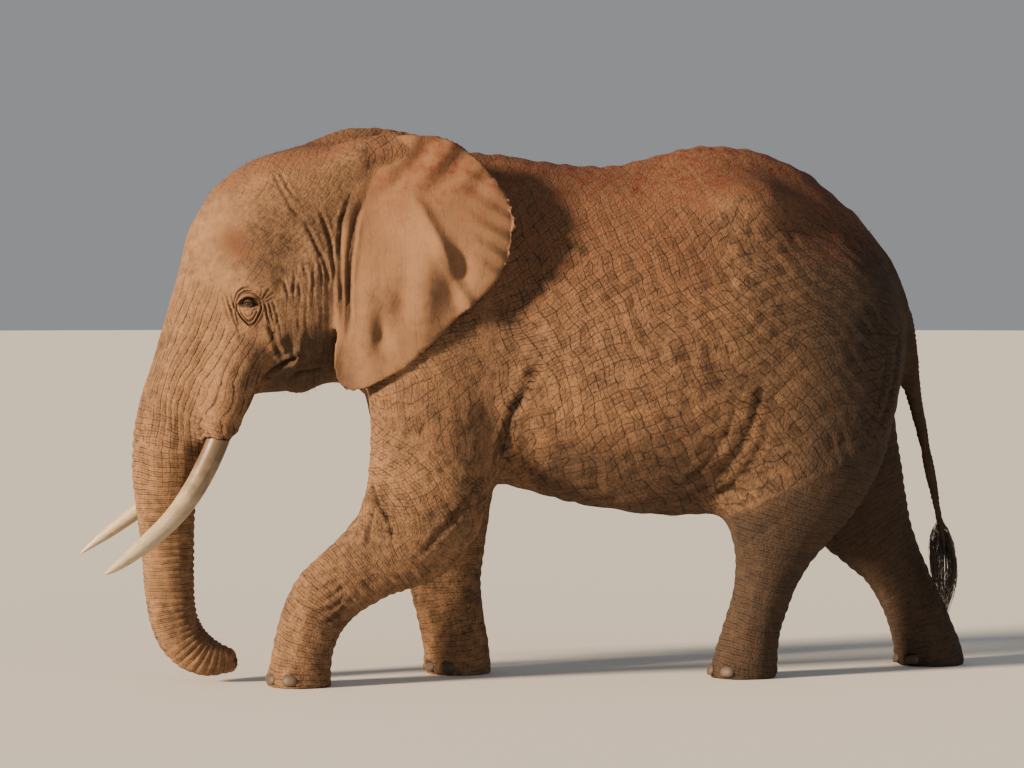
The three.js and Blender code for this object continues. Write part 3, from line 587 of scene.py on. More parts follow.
def ear_forms(hide):
    """Soft rolls and hollows in the ears, a thick front edge, and a lower lobe that bends in at its tip."""
    ear = hide.share["ear"]
    p = hide.place
    x, z = p[:, 0], p[:, 2]
    side = np.where(p[:, 1] < 0, LEFT, RIGHT)
    ridge = (x + 0.52) * 0.91 + (z - 2.0) * 0.42
    out = 0.034 * np.exp(-(ridge / 0.034) ** 2) * window(1.74, 2.24, 0.12, z)
    out -= 0.050 * np.exp(-((x + 0.475) / 0.060) ** 2 - ((z - 1.95) / 0.14) ** 2)
    out -= 0.034 * np.exp(-((x + 0.735) / 0.050) ** 2 - ((z - 1.81) / 0.085) ** 2)
    out -= 0.030 * np.exp(-((x + 0.825) / 0.040) ** 2 - ((z - 1.67) / 0.070) ** 2)
    out += 0.030 * np.exp(-((x + 0.63) / 0.060) ** 2 - ((z - 1.86) / 0.17) ** 2)
    out += 0.024 * np.exp(-((x + 0.90) / 0.05) ** 2 - ((z - 1.74) / 0.20) ** 2)
    out -= 0.050 * np.exp(-((x + 1.0) / 0.06) ** 2 - ((z - 1.49) / 0.10) ** 2)
    out -= 0.026 * np.exp(-((x + 0.82) / 0.12) ** 2 - ((z - 2.18) / 0.20) ** 2)
    out += 0.016 * noise(p * (1, 0.2, 1), 0.19, 41) * window(-0.95, -0.1, 0.1, x)
    rear = ramp(-0.48, -0.26, x) * window(1.98, 2.48, 0.10, z)
    out += 0.009 * rear * np.sin((z * 0.86 + x * 0.5 + 0.012 * noise(p * (1, 0.2, 1), 0.12, 42)) * 2 * math.pi / 0.088)
    out += 0.012 * np.sin((x * 0.75 - z * 0.66) * 2 * math.pi / 0.15) * ramp(2.2, 2.5, z)
    place = p.copy()
    place[:, 1] += side * out * ramp(0.35, 0.9, ear)
    hide.put(place)


def folds(hide):
    """The folds that a bush elephant's hide always has, by their places."""
    near, far = (LEFT,), (RIGHT,)
    # folds that hang from the temple, and their faint run down the cheek
    for x, top, end, lean, deep in ((-1.270, 1.95, 1.82, 0.012, 5), (-1.236, 2.00, 1.85, -0.006, 7), (-1.214, 1.97, 1.79, 0.010, 4),
                                    (-1.176, 2.05, 1.86, 0.016, 6), (-1.150, 2.03, 1.77, -0.004, 5),
                                    (-1.108, 2.09, 1.88, 0.012, 5), (-1.085, 2.02, 1.84, 0.006, 3)):
        fold(hide, [(x - 1.6 * lean, top), (x, 0.45 * top + 0.55 * end), (x + lean, end)], 0.0075, 0.001 * deep, lips=0.7,
             shy=0.45)
        fold(hide, [(x + 0.3 * lean, end + 0.05), (x + 0.014 - lean, 1.72), (x + 0.03 + lean, 1.51 - lean)], 0.008, 0.0018,
             shy=0.4)
    # the ear's front edge and the long ridges that run down into it
    fold(hide, [(-0.895, 2.33), (-0.945, 2.20), (-0.970, 2.05), (-0.980, 1.85), (-0.985, 1.62)], 0.013, 0.016)
    fold(hide, [(-0.955, 2.36), (-1.010, 2.20), (-1.022, 2.03), (-1.012, 1.86), (-1.010, 1.66)], 0.010, 0.012)
    fold(hide, [(-1.120, 2.29), (-1.075, 2.16), (-1.050, 2.03), (-1.035, 1.90)], 0.010, 0.009)
    fold(hide, [(-1.200, 2.24), (-1.140, 2.12), (-1.090, 2.01), (-1.065, 1.88)], 0.009, 0.007)
    fold(hide, [(-1.33, 2.46), (-1.29, 2.36), (-1.24, 2.27), (-1.19, 2.20)], 0.008, 0.005)
    fold(hide, [(-1.30, 2.47), (-1.26, 2.37), (-1.20, 2.29), (-1.15, 2.23)], 0.007, 0.004)
    # the mouth, behind the tusk sheath, and the lower lip
    fold(hide, [(-1.46, 1.30), (-1.40, 1.42), (-1.33, 1.50), (-1.25, 1.55), (-1.17, 1.60)], 0.011, 0.016)
    fold(hide, [(-1.25, 1.46), (-1.20, 1.49), (-1.13, 1.50), (-1.06, 1.52)], 0.009, 0.012)
    # cheek bags
    fold(hide, [(-1.37, 1.74), (-1.34, 1.68), (-1.31, 1.60), (-1.27, 1.54)], 0.010, 0.009)
    # armpit and elbow
    fold(hide, [(-0.06, 1.62), (-0.15, 1.42), (-0.22, 1.22), (-0.23, 1.03)], 0.024, 0.009)
    fold(hide, [(-0.12, 1.44), (-0.21, 1.28), (-0.27, 1.10), (-0.28, 0.98)], 0.014, 0.007)
    fold(hide, [(-0.30, 1.06), (-0.42, 0.90), (-0.56, 0.74), (-0.66, 0.66)], 0.014, 0.008, near)
    fold(hide, [(-0.34, 0.98), (-0.47, 0.81), (-0.60, 0.68), (-0.70, 0.60)], 0.012, 0.006, near)
    fold(hide, [(-0.89, 1.02), (-0.86, 0.92), (-0.83, 0.84), (-0.76, 0.78)], 0.010, 0.011, near)
    fold(hide, [(-0.86, 0.90), (-0.87, 0.83), (-0.89, 0.74), (-0.90, 0.66)], 0.009, 0.009, near)
    fold(hide, [(-0.84, 0.87), (-0.81, 0.81), (-0.79, 0.74), (-0.78, 0.67)], 0.008, 0.008, near)
    # the bent wrist
    for n in range(5):
        fold(hide, [(-1.22 + 0.02 * n, 0.56 - 0.055 * n), (-1.15 + 0.01 * n, 0.53 - 0.055 * n),
                    (-1.07 + 0.01 * n, 0.55 - 0.05 * n), (-1.00, 0.59 - 0.045 * n)], 0.011, 0.006, near)
    # flank to groin, and the fold that joins thigh to belly
    fold(hide, [(0.66, 0.86), (0.76, 0.95), (0.86, 1.10), (0.94, 1.30), (0.99, 1.52)], 0.022, 0.007)
    fold(hide, [(0.72, 0.83), (0.83, 0.92), (0.94, 1.06), (1.03, 1.25)], 0.016, 0.004)
    fold(hide, [(0.60, 0.92), (0.69, 1.02), (0.79, 1.17), (0.86, 1.38)], 0.014, 0.005)
    # the knee of each hind leg
    for n in range(5):
        fold(hide, [(0.86 + 0.012 * n, 0.60 + 0.035 * n), (0.93, 0.66 + 0.035 * n), (1.03, 0.74 + 0.03 * n),
                    (1.15, 0.83 + 0.025 * n)], 0.011, 0.005, near)
    for n in range(4):
        fold(hide, [(1.47 + 0.05 * n, 0.62 + 0.03 * n), (1.58 + 0.03 * n, 0.70 + 0.02 * n),
                    (1.69, 0.76 + 0.02 * n)], 0.010, 0.008, far)
    # the buttock, beside the tail
    fold(hide, [(1.72, 1.76), (1.70, 1.55), (1.64, 1.34), (1.56, 1.16)], 0.016, 0.009)
    fold(hide, [(1.64, 1.70), (1.62, 1.50), (1.56, 1.30), (1.48, 1.14)], 0.013, 0.005)
    hide.settle()


def feet(hide):
    """A roll of hide over each toenail."""
    p = hide.place
    low = 1 - ramp(0.16, 0.24, p[:, 2])
    near = np.nonzero((low > 0) & (hide.share["foreleg"] + hide.share["hindleg"] > 0.5))[0]
    bm = bmesh.new()
    for nail in NAILS:
        bm.from_mesh(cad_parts[nail].data)
    tree = BVHTree.FromBMesh(bm)
    bm.free()
    for n in near:
        away = tree.find_nearest(p[n])[3]
        rise = 0.006 * math.exp(-((away - 0.011) / 0.008) ** 2) * (p[n, 2] > 0.02)
        hide.height[n] += rise
        # painted shade where the hide meets each toenail
        hide.crease[n] = max(hide.crease[n], 0.9 * math.exp(-((away - 0.001) / 0.004) ** 2))
    hide.settle()


# ---- the hide: its wrinkles ----
def lays(place, share):
    """The lay of the wrinkles: in each part two families of lines, each counted in the gaps between its lines, and
    how strong each family is there."""
    x, z = place[:, 0], place[:, 2]
    one = np.ones(len(x))
    side = np.stack([x, z], axis=1)
    girth, run = wrapped(place, curve_through(TRUNK_LINE), 0.17).T
    steps = np.linspace(0, 3.2, 200)
    ringed = np.interp(run, steps, np.cumsum(1 / (0.026 - 0.009 * ramp(1.1, 1.9, steps))) * (steps[1] - steps[0]))
    trunk = np.stack([girth / (0.028 + 0.010 * ramp(1.1, 1.5, run)), ringed], axis=1)
    body = wrapped(place, curve_through(BODY_LINE), 0.62)
    up, back = body[:, 0] - 0.97, body[:, 1] - 1.70
    flank = np.stack([(0.86 * back + 0.5 * up + 0.2 * up * back) / 0.047,
                      (0.83 * up - 0.55 * back + 0.25 * back ** 2) / 0.045], axis=1)
    low = ramp(-1.36, -1.24, x)
    face = ramp(0.42, 0.62, run) * (1 - low) * share["head"]
    cheek = share["head"] * low * (1 - ramp(1.95, 2.10, z))
    forehead = np.exp(-((x + 1.60) / 0.16) ** 2 - ((z - 2.10) / 0.30) ** 2)
    eye = middle("eye_left")
    calm = ramp(0.10, 0.15, np.hypot(x - eye[0], z - eye[2] + 0.02))
    hind = share["barrel"] + share["rump"] + share["chest"] * ramp(-0.45, -0.2, x)
    fore = share["neck"] + share["chest"] * (1 - ramp(-0.45, -0.2, x))
    top = 1 - 0.6 * ramp(2.1, 2.4, z)
    # each part's weight, its lay, how strong its two families are, and how far its lines stray
    rows = [(share["trunk"] + face, trunk, 0.95 * (1 - 0.8 * ramp(1.25, 1.6, run)) * calm * (1 - forehead), ramp(1.0, 1.35, run), 0.6),
            (share["head"] - face - cheek, turned(side, 38) / 0.029, 0.4 * (1 - forehead), 0.3 * (1 - forehead), 1),
            (cheek, side / (0.031, 0.045), 0.35 * calm, 0.08 * calm, 0.9),
            (fore, turned(body, 35) / (0.050, 0.042), 0.7 * one, 0.6 * one, 1),
            (hind, flank, 0.85 * top, 0.8 * top, 1),
            (share["ear"], side / (0.06, 0.08), 0.12 * one, 0.06 * one, 1),
            (share["tail"], place[:, [1, 2]] / (0.2, 0.013), 0 * one, 0.7 * one, 0.3)]
    for leg, line in LEG_LINES.items():
        sign = LEFT if leg.endswith("left") else RIGHT
        round_it = wrapped(place, curve_through(line), 0.17)
        own = share[leg.split("_")[0]] * (place[:, 1] * sign > 0)
        upper = ramp(0.62, 0.80, z)
        if leg.startswith("foreleg"):
            rows.append((own * upper, turned(round_it, 45) / 0.034, 0.75 * one, 0.65 * one, 1))
            own = own * (1 - upper)
        rows.append((own, round_it / (0.044, 0.027), 0.28 * one, 0.72 * one, 0.8))
    weight = np.array([row[0] for row in rows])
    chosen = weight.argmax(0), np.arange(len(x))
    clear = ramp(0.16, 0.45, weight.max(0) - np.sort(weight, axis=0)[-2])
    lay = np.array([row[1] for row in rows])[chosen]
    firm = np.array([row[2:4] for row in rows]).transpose(0, 2, 1)[chosen] * clear[:, None]
    stray = np.array([row[4] for row in rows])[chosen[0]]
    for n in (0, 1):
        lay[:, n] += stray * (0.9 * noise(place, 0.21, 61 + n) + 0.4 * noise(place, 0.085, 63 + n))
    return lay, firm


def wrinkles(hide):
    """The deeper lines of the hide: each one on the face and the trunk's root, every second one elsewhere."""
    lay, firm = lays(hide.place, hide.share)
    run = along_line(hide.place, curve_through(TRUNK_LINE))[1]
    close = np.clip(hide.share["head"] + hide.share["trunk"] * (1 - ramp(1.1, 1.3, run)), 0, 1)
    for n, deep in ((0, 0.0036), (1, 0.0036)):
        whole = 0.4 + 0.6 * ramp(-0.35, 0.45, noise(hide.place, 0.12, 71 + n))
        for every, there in ((1, close), (2, 1 - close)):
            line = lay[:, n] / every
            near = np.abs(line - np.round(line))
            trough = np.exp(-(near / 0.2) ** 2)
            rise = 0.45 * np.exp(-((near - 0.42) / 0.14) ** 2) - trough
            hide.height += deep * every ** 0.5 * firm[:, n] * whole * there * rise
    hide.height += 0.0016 * noise(hide.place, 0.055, 75) * (1 - hide.share["ear"])
    hide.settle()


# ---- materials ----
def new_tree(name):
    """A new material and its empty node tree."""
    material = bpy.data.materials.new(name)
    material.use_nodes = True
    material.node_tree.nodes.clear()
    return material, material.node_tree


def put(tree, kind, settings=None, links=None):
    """Adds a node, sets its values and sockets, and joins its inputs to other nodes' outputs."""
    node = tree.nodes.new(kind)
    for key, value in (settings or {}).items():
        if isinstance(key, str) and hasattr(node, key):
            setattr(node, key, value)
        else:
            node.inputs[key].default_value = value
    for key, source in (links or {}).items():
        tree.links.new(source, node.inputs[key])
    return node


def finish(tree, settings, links):
    """The surface shader and the material's output."""
    shader = put(tree, "ShaderNodeBsdfPrincipled", settings, links)
    put(tree, "ShaderNodeOutputMaterial", None, {"Surface": shader.outputs["BSDF"]})


PEBBLE = 0.0135  # the finest cells of the hide
GRAIN = 0.003


def hide_material(colours):
    """Bush elephant hide: thick, dry, lined skin, matt all over, pale with dust on its raised places, with painted
    shade in its folds, cracks and pebble gaps and on its hindquarters, belly, jaw and ear lobe, and red-brown where
    earth thrown over the back and crown has stayed."""
    material, tree = new_tree("elephant_hide")
    place = put(tree, "ShaderNodeTexCoord").outputs["Object"]
    # the last attribute read here is the painted shade of the hindquarters, belly, jaw and ear lobe
    crease, dust, coarse, painted_shade_share = (put(tree, "ShaderNodeAttribute", {"attribute_name": name}).outputs["Fac"]
                                        for name in ("crease", "dust", "coarse", "tone_and_painted_shade"))
    lie, rule = (put(tree, "ShaderNodeAttribute", {"attribute_name": name}).outputs["Vector"]
                 for name in ("lie", "rule"))
    patches = put(tree, "ShaderNodeTexNoise", {"Scale": 2.6, "Detail": 4.0, "Roughness": 0.62}, {"Vector": place})
    mottle = put(tree, "ShaderNodeTexNoise", {"Scale": 21.0, "Detail": 6.0, "Roughness": 0.68}, {"Vector": place})
    grain = put(tree, "ShaderNodeTexNoise", {"Scale": 1 / GRAIN, "Detail": 2.0, "Roughness": 0.6}, {"Vector": place})
    # two families of lines that cross, laid along each part, and finer ones between them
    laid = put(tree, "ShaderNodeVectorMath", {"operation": "MULTIPLY_ADD", 1: (0.7, 0.7, 0.0)},
               {0: mottle.outputs["Color"], 2: lie})
    centred = put(tree, "ShaderNodeVectorMath", {"operation": "SUBTRACT", 1: (0.35, 0.35, 0.0)}, {0: laid.outputs[0]})
    ways = put(tree, "ShaderNodeSeparateXYZ", None, {"Vector": centred.outputs[0]})
    firm = put(tree, "ShaderNodeSeparateXYZ", None, {"Vector": rule})
    broken = put(tree, "ShaderNodeMapRange", {"From Min": 0.60, "From Max": 0.42, "To Min": 0.25, "To Max": 1.0},
                 {"Value": mottle.outputs["Fac"]})
    found = []
    for axis in "XY":
        for gap, wide, strong in ((1.0, 0.09, 1.0), (0.5, 0.05, 0.45)):
            away = put(tree, "ShaderNodeMath", {"operation": "PINGPONG", 1: gap / 2}, {0: ways.outputs[axis]})
            line = put(tree, "ShaderNodeMapRange", {"interpolation_type": "SMOOTHSTEP", "From Max": wide,
                                                    "To Min": strong, "To Max": 0.0}, {"Value": away.outputs[0]})
            found.append(put(tree, "ShaderNodeMath", {"operation": "MULTIPLY"},
                             {0: line.outputs[0], 1: firm.outputs[axis]}))
    crack = found[0]
    for line in found[1:]:
        crack = put(tree, "ShaderNodeMath", {"operation": "MAXIMUM"}, {0: crack.outputs[0], 1: line.outputs[0]})
    crack = put(tree, "ShaderNodeMath", {"operation": "MULTIPLY"}, {0: crack.outputs[0], 1: broken.outputs[0]})
    # pebbles between them
    small = put(tree, "ShaderNodeVectorMath", {"operation": "SCALE", "Scale": 1 / PEBBLE}, {0: place})
    strayed = put(tree, "ShaderNodeVectorMath", {"operation": "MULTIPLY_ADD", 1: (2.4, 2.4, 2.4)},
                  {0: mottle.outputs["Color"], 2: small.outputs[0]})
    pebble = put(tree, "ShaderNodeTexVoronoi", {"feature": "F1", "Scale": 1.0}, {"Vector": strayed.outputs[0]})
    gap = put(tree, "ShaderNodeMapRange", {"interpolation_type": "SMOOTHSTEP", "From Min": 0.32, "From Max": 0.80},
              {"Value": pebble.outputs["Distance"]})
    gap = put(tree, "ShaderNodeMath", {"operation": "MULTIPLY"}, {0: gap.outputs[0], 1: coarse})
    # colour: the hide's own tone, then its pale dust, painted shade on the hindquarters, belly, jaw and ear lobe, the
    # earth on top, and painted shade in the folds and cracks
    spread = put(tree, "ShaderNodeMapRange", {"From Min": 0.36, "From Max": 0.64}, {"Value": patches.outputs["Fac"]})
    worn = put(tree, "ShaderNodeMapRange", {"From Min": 0.32, "From Max": 0.70}, {"Value": mottle.outputs["Fac"]})
    tone_and_painted_shade = put(tree, "ShaderNodeMix", {"data_type": "RGBA", 6: colours.hide_dark, 7: colours.hide_light},
               {0: spread.outputs[0]})
    pale = put(tree, "ShaderNodeMath", {"operation": "MULTIPLY", 1: 0.5}, {0: worn.outputs[0]})
    calm = put(tree, "ShaderNodeMath", {"operation": "MULTIPLY_ADD", 1: -0.25, 2: 0.25}, {0: coarse})
    pale = put(tree, "ShaderNodeMath", {"operation": "ADD", "use_clamp": True}, {0: pale.outputs[0], 1: calm.outputs[0]})
    dusty = put(tree, "ShaderNodeMix", {"data_type": "RGBA", 7: colours.hide_pale},
                {0: pale.outputs[0], 6: tone_and_painted_shade.outputs[2]})
    # painted shade on the hindquarters, belly, jaw and ear lobe
    shaded = put(tree, "ShaderNodeMix", {"data_type": "RGBA", 7: colours.hide_shade},
                 {0: painted_shade_share, 6: dusty.outputs[2]})
    ragged = put(tree, "ShaderNodeMath", {"operation": "MULTIPLY", 1: 1.2}, {0: worn.outputs[0]})
    earth = put(tree, "ShaderNodeMath", {"operation": "MULTIPLY", "use_clamp": True}, {0: dust, 1: ragged.outputs[0]})
    red = put(tree, "ShaderNodeMix", {"data_type": "RGBA", 7: colours.earth}, {0: earth.outputs[0], 6: shaded.outputs[2]})
    # painted shade: the cracks, the gaps between pebbles and the floors of the folds are darkened towards the crease
    # colour
    lines = put(tree, "ShaderNodeMath", {"operation": "MULTIPLY", 1: 0.62}, {0: crack.outputs[0]})
    dots = put(tree, "ShaderNodeMath", {"operation": "MULTIPLY_ADD", 1: 0.24}, {0: gap.outputs[0], 2: lines.outputs[0]})
    painted_fold_shade = put(tree, "ShaderNodeMath", {"operation": "MULTIPLY_ADD", 1: 0.88, "use_clamp": True},
                 {0: crease, 2: dots.outputs[0]})
    dark = put(tree, "ShaderNodeMix", {"data_type": "RGBA", 7: colours.crease},
               {0: painted_fold_shade.outputs[0], 6: red.outputs[2]})
    rough = put(tree, "ShaderNodeMapRange", {"To Min": 0.78, "To Max": 0.95}, {"Value": mottle.outputs["Fac"]})
    # relief, in millimetres
    deep = put(tree, "ShaderNodeMath", {"operation": "MULTIPLY", 1: -6.0}, {0: crack.outputs[0]})
    for height, far in ((gap.outputs[0], -1.3), (grain.outputs["Fac"], 1.0), (mottle.outputs["Fac"], 1.6)):
        deep = put(tree, "ShaderNodeMath", {"operation": "MULTIPLY_ADD", 1: far}, {0: height, 2: deep.outputs[0]})
    bump = put(tree, "ShaderNodeBump", {"Strength": 1.0, "Distance": 0.001}, {"Height": deep.outputs[0]})
    finish(tree, {"IOR": 1.42, "Specular IOR Level": 0.3},
           {"Base Color": dark.outputs[2], "Roughness": rough.outputs[0], "Normal": bump.outputs["Normal"]})
    return material


def ivory_material(colours):
    """Elephant ivory, worn in use: satin dentine, cream at the tip, stained grey-brown to the lip, with fine cracks
    and scratches that run along it."""
    material, tree = new_tree("worn_ivory")
    run = put(tree, "ShaderNodeAttribute", {"attribute_name": "run"}).outputs["Fac"]
    lie = put(tree, "ShaderNodeAttribute", {"attribute_name": "lie"}).outputs["Vector"]
    place = put(tree, "ShaderNodeTexCoord").outputs["Object"]
    streaks = put(tree, "ShaderNodeTexNoise", {"Scale": 160.0, "Detail": 5.0, "Roughness": 0.6}, {"Vector": lie})
    cloud = put(tree, "ShaderNodeTexNoise", {"Scale": 14.0, "Detail": 4.0}, {"Vector": place})
    fade = put(tree, "ShaderNodeMath", {"operation": "MULTIPLY_ADD", 1: 0.45}, {0: cloud.outputs["Fac"], 2: run})
    tone = put(tree, "ShaderNodeValToRGB", None, {"Fac": fade.outputs[0]})
    band = tone.color_ramp.elements
    band[0].position, band[0].color = 0.18, colours.ivory_tip
    band[1].position, band[1].color = 1.3, colours.ivory_root
    mid = band.new(0.72)
    mid.color = colours.ivory
    fine = put(tree, "ShaderNodeMapRange", {"From Min": 0.40, "From Max": 0.60, "To Min": 0.32, "To Max": 0.0},
               {"Value": streaks.outputs["Fac"]})
    stained = put(tree, "ShaderNodeMix", {"data_type": "RGBA", 7: colours.ivory_root},
                  {0: fine.outputs[0], 6: tone.outputs["Color"]})
    rough = put(tree, "ShaderNodeMapRange", {"To Min": 0.30, "To Max": 0.52}, {"Value": streaks.outputs["Fac"]})
    bump = put(tree, "ShaderNodeBump", {"Strength": 0.35, "Distance": 0.0008}, {"Height": streaks.outputs["Fac"]})
    finish(tree, {"IOR": 1.54, "Subsurface Weight": 0.12, "Subsurface Scale": 0.006},
           {"Base Color": stained.outputs[2], "Roughness": rough.outputs[0], "Normal": bump.outputs["Normal"]})
    return material


def horn_material(colours):
    """Toenail horn: dull keratin, ridged upright, worn pale at its lower edge and dusty all over."""
    material, tree = new_tree("toenail_horn")
    place = put(tree, "ShaderNodeTexCoord").outputs["Object"]
    upright = put(tree, "ShaderNodeMapping", {"Scale": (1, 1, 0.12)}, {"Vector": place})
    ridges = put(tree, "ShaderNodeTexNoise", {"Scale": 220.0, "Detail": 3.0}, {"Vector": upright.outputs[0]})
    cloud = put(tree, "ShaderNodeTexNoise", {"Scale": 45.0, "Detail": 4.0}, {"Vector": place})
    tone = put(tree, "ShaderNodeMix", {"data_type": "RGBA", 6: colours.horn, 7: colours.horn_worn},
               {0: cloud.outputs["Fac"]})
    dirt = put(tree, "ShaderNodeMapRange", {"From Min": 0.45, "From Max": 0.7, "To Max": 0.5},
               {"Value": ridges.outputs["Fac"]})
    dirty = put(tree, "ShaderNodeMix", {"data_type": "RGBA", 7: colours.hide_dark},
                {0: dirt.outputs[0], 6: tone.outputs[2]})
    bump = put(tree, "ShaderNodeBump", {"Strength": 0.6, "Distance": 0.0012}, {"Height": ridges.outputs["Fac"]})
    finish(tree, {"Roughness": 0.62, "IOR": 1.5}, {"Base Color": dirty.outputs[2], "Normal": bump.outputs["Normal"]})
    return material


def eye_material(colours):
    """A living eye: a black pupil in a streaked amber-brown iris with a dark rim, all under one wet surface."""
    material, tree = new_tree("wet_eye")
    turn = put(tree, "ShaderNodeAttribute", {"attribute_name": "turn"}).outputs["Fac"]
    lie = put(tree, "ShaderNodeAttribute", {"attribute_name": "lie"}).outputs["Vector"]
    streaks = put(tree, "ShaderNodeTexNoise", {"Scale": 9.0, "Detail": 4.0}, {"Vector": lie})
    tone = put(tree, "ShaderNodeValToRGB", None, {"Fac": turn})
    tone.color_ramp.elements[0].color = (0.002, 0.002, 0.002, 1)
    tone.color_ramp.elements[0].position = 0.235
    tone.color_ramp.elements[1].color = colours.eye_white
    tone.color_ramp.elements[1].position = 0.80
    for at, colour in ((0.27, colours.iris_dark), (0.42, colours.iris), (0.60, colours.iris_dark),
                       (0.66, (0.004, 0.003, 0.002, 1))):
        tone.color_ramp.elements.new(at).color = colour
    fibre = put(tree, "ShaderNodeMapRange", {"From Min": 0.35, "From Max": 0.65, "To Min": 0.45, "To Max": 1.3},
                {"Value": streaks.outputs["Fac"]})
    mixed = put(tree, "ShaderNodeVectorMath", {"operation": "SCALE"},
                {0: tone.outputs["Color"], "Scale": fibre.outputs[0]})
    finish(tree, {"Roughness": 0.12, "IOR": 1.38, "Coat Weight": 0.6, "Coat Roughness": 0.03, "Coat IOR": 1.4},
           {"Base Color": mixed.outputs[0]})
    return material


def hair_material(colours):
    """Coarse elephant hair: thick, wiry keratin, near black, with a low sheen along each strand."""
    material, tree = new_tree("elephant_hair")
    place = put(tree, "ShaderNodeTexCoord").outputs["Object"]
    cloud = put(tree, "ShaderNodeTexNoise", {"Scale": 60.0, "Detail": 2.0}, {"Vector": place})
    tone = put(tree, "ShaderNodeMix", {"data_type": "RGBA", 6: colours.hair, 7: colours.hair_dusty},
               {0: cloud.outputs["Fac"]})
    finish(tree, {"Roughness": 0.48, "IOR": 1.55}, {"Base Color": tone.outputs[2]})
    return material


def floor_material(colours):
    """A matt painted studio floor, pale and even."""
    material, tree = new_tree("pale_floor")
    place = put(tree, "ShaderNodeTexCoord").outputs["Object"]
    cloud = put(tree, "ShaderNodeTexNoise", {"Scale": 0.4, "Detail": 3.0}, {"Vector": place})
    rough = put(tree, "ShaderNodeMapRange", {"To Min": 0.86, "To Max": 0.94}, {"Value": cloud.outputs["Fac"]})
    finish(tree, {"Base Color": colours.floor}, {"Roughness": rough.outputs[0]})
    return material


# ---- settings ----
def colour(name, code, description):
    return FloatVectorProperty(name=name, description=description, subtype="COLOR", size=4, min=0, max=1,
                               default=linear(code))


class ElephantSizes(bpy.types.PropertyGroup):
    net: FloatProperty(name="Net", description="How fine the first net of the hide is", default=0.012, min=0.008,
                       max=0.04, subtype="DISTANCE", unit="LENGTH")
    faces: IntProperty(name="Triangles", description="The most triangles that the finished hide has", default=190000,
                       min=20000, max=199000)
    tail_hairs: IntProperty(name="Tail hairs", description="How many hairs the tail's brush has", default=420, min=0)
    tail_hair: FloatProperty(name="Tail hair", description="How thick a tail hair is at its root", default=0.0026,
                             subtype="DISTANCE", unit="LENGTH")
    bristles: IntProperty(name="Bristles", description="How many bristles stand on the crown, back and chin",
                          default=900, min=0)


class ElephantColours(bpy.types.PropertyGroup):
    hide_light: colour("Light hide", "#775940", "Dry hide on the raised places")
    hide_dark: colour("Dark hide", "#49372a", "Hide where little dust lies")
    # painted shade: the colour that the hindquarters, belly, jaw and ear lobe are darkened towards
    hide_shade: colour("Bare hide", "#302822", "Hide that the dust has been rubbed from, on the hindquarters and jaw")
    hide_pale: colour("Pale dust", "#9d7957", "Fine dust worn into the hide")
    earth: colour("Earth", "#5c2b1c", "Red-brown earth on the back, crown and rump")
    # painted shade: the colour that folds, cracks and pebble gaps are darkened towards
    crease: colour("Crease", "#17100c", "The floor of the folds and cracks")
    ivory: colour("Ivory", "#aa997d", "The middle of the tusks")
    ivory_tip: colour("Ivory tip", "#c8b99b", "The worn tips of the tusks")
    ivory_root: colour("Ivory stain", "#66543f", "Stained ivory at the lip and in the cracks")
    horn: colour("Horn", "#392e23", "The toenails")
    horn_worn: colour("Worn horn", "#4b3d2e", "Worn places on the toenails")
    iris: colour("Iris", "#5a3a1c", "The amber of the eye")
    iris_dark: colour("Dark iris", "#23150b", "The rims of the iris")
    eye_white: colour("Eye white", "#5c4537", "The eyeball round the iris")
    hair: colour("Hair", "#1b1512", "The tail's hair and the bristles")
    hair_dusty: colour("Dusty hair", "#3a2c22", "Hair with dust on it")
    floor: colour("Floor", "#d9d6d0", "The studio floor")


# ---- pieces ----
def dust_on(place, normal, share):
    """Where red-brown earth lies: on all that faces up along the back, and on the crown, temple, rump and ear tops."""
    x, z = place[:, 0], place[:, 2]
    up = ramp(0.05, 0.9, normal[:, 2])
    back = up * ramp(-0.9, -0.3, x) * ramp(1.85, 2.2, z)
    crown = up * share["head"] * ramp(2.2, 2.45, z) * 0.7
    rump = 0.7 * np.exp(-((x - 1.35) / 0.35) ** 2) * ramp(1.9, 2.3, z)
    temple = 0.9 * np.exp(-(((x + 1.49) + 0.35 * (z - 2.1)) / 0.085) ** 2 - ((z - 2.11) / 0.075) ** 2) * share["head"]
    ear = share["ear"] * (0.28 + 0.55 * ramp(2.05, 2.48, z))
    nape = 0.6 * share["neck"] * ramp(2.25, 2.5, z)
    flank = (0.12 + 0.5 * ramp(1.55, 2.2, z)) * (share["barrel"] + share["chest"])
    return np.clip(np.maximum.reduce([back, crown, rump, temple, ear, nape, flank]), 0, 1)


HELD = 0.0000008  # how much the firmly held parts of the net resist being thinned


def painted_shade_on(place, share):
    """Painted shade on the hindquarters, the belly, the jaw and the ear's lower lobe: how far the hide there is
    darkened.
    """
    x, y, z = place.T
    rear = (share["rump"] * ramp(0.85, 1.35, x) + share["hindleg"] + share["tail"]) * (1 - 0.8 * ramp(2.05, 2.35, z))
    belly = share["barrel"] * (1 - ramp(1.05, 1.35, z))
    jaw = share["head"] * ramp(-1.40, -1.28, x) * (1 - ramp(1.62, 1.80, z))
    lobe = share["ear"] * (1 - ramp(-0.97, -0.90, x)) * (1 - ramp(1.45, 1.60, z))
    return 0.84 * np.clip(rear + 0.7 * belly + 0.75 * jaw + 0.7 * lobe, 0, 1)


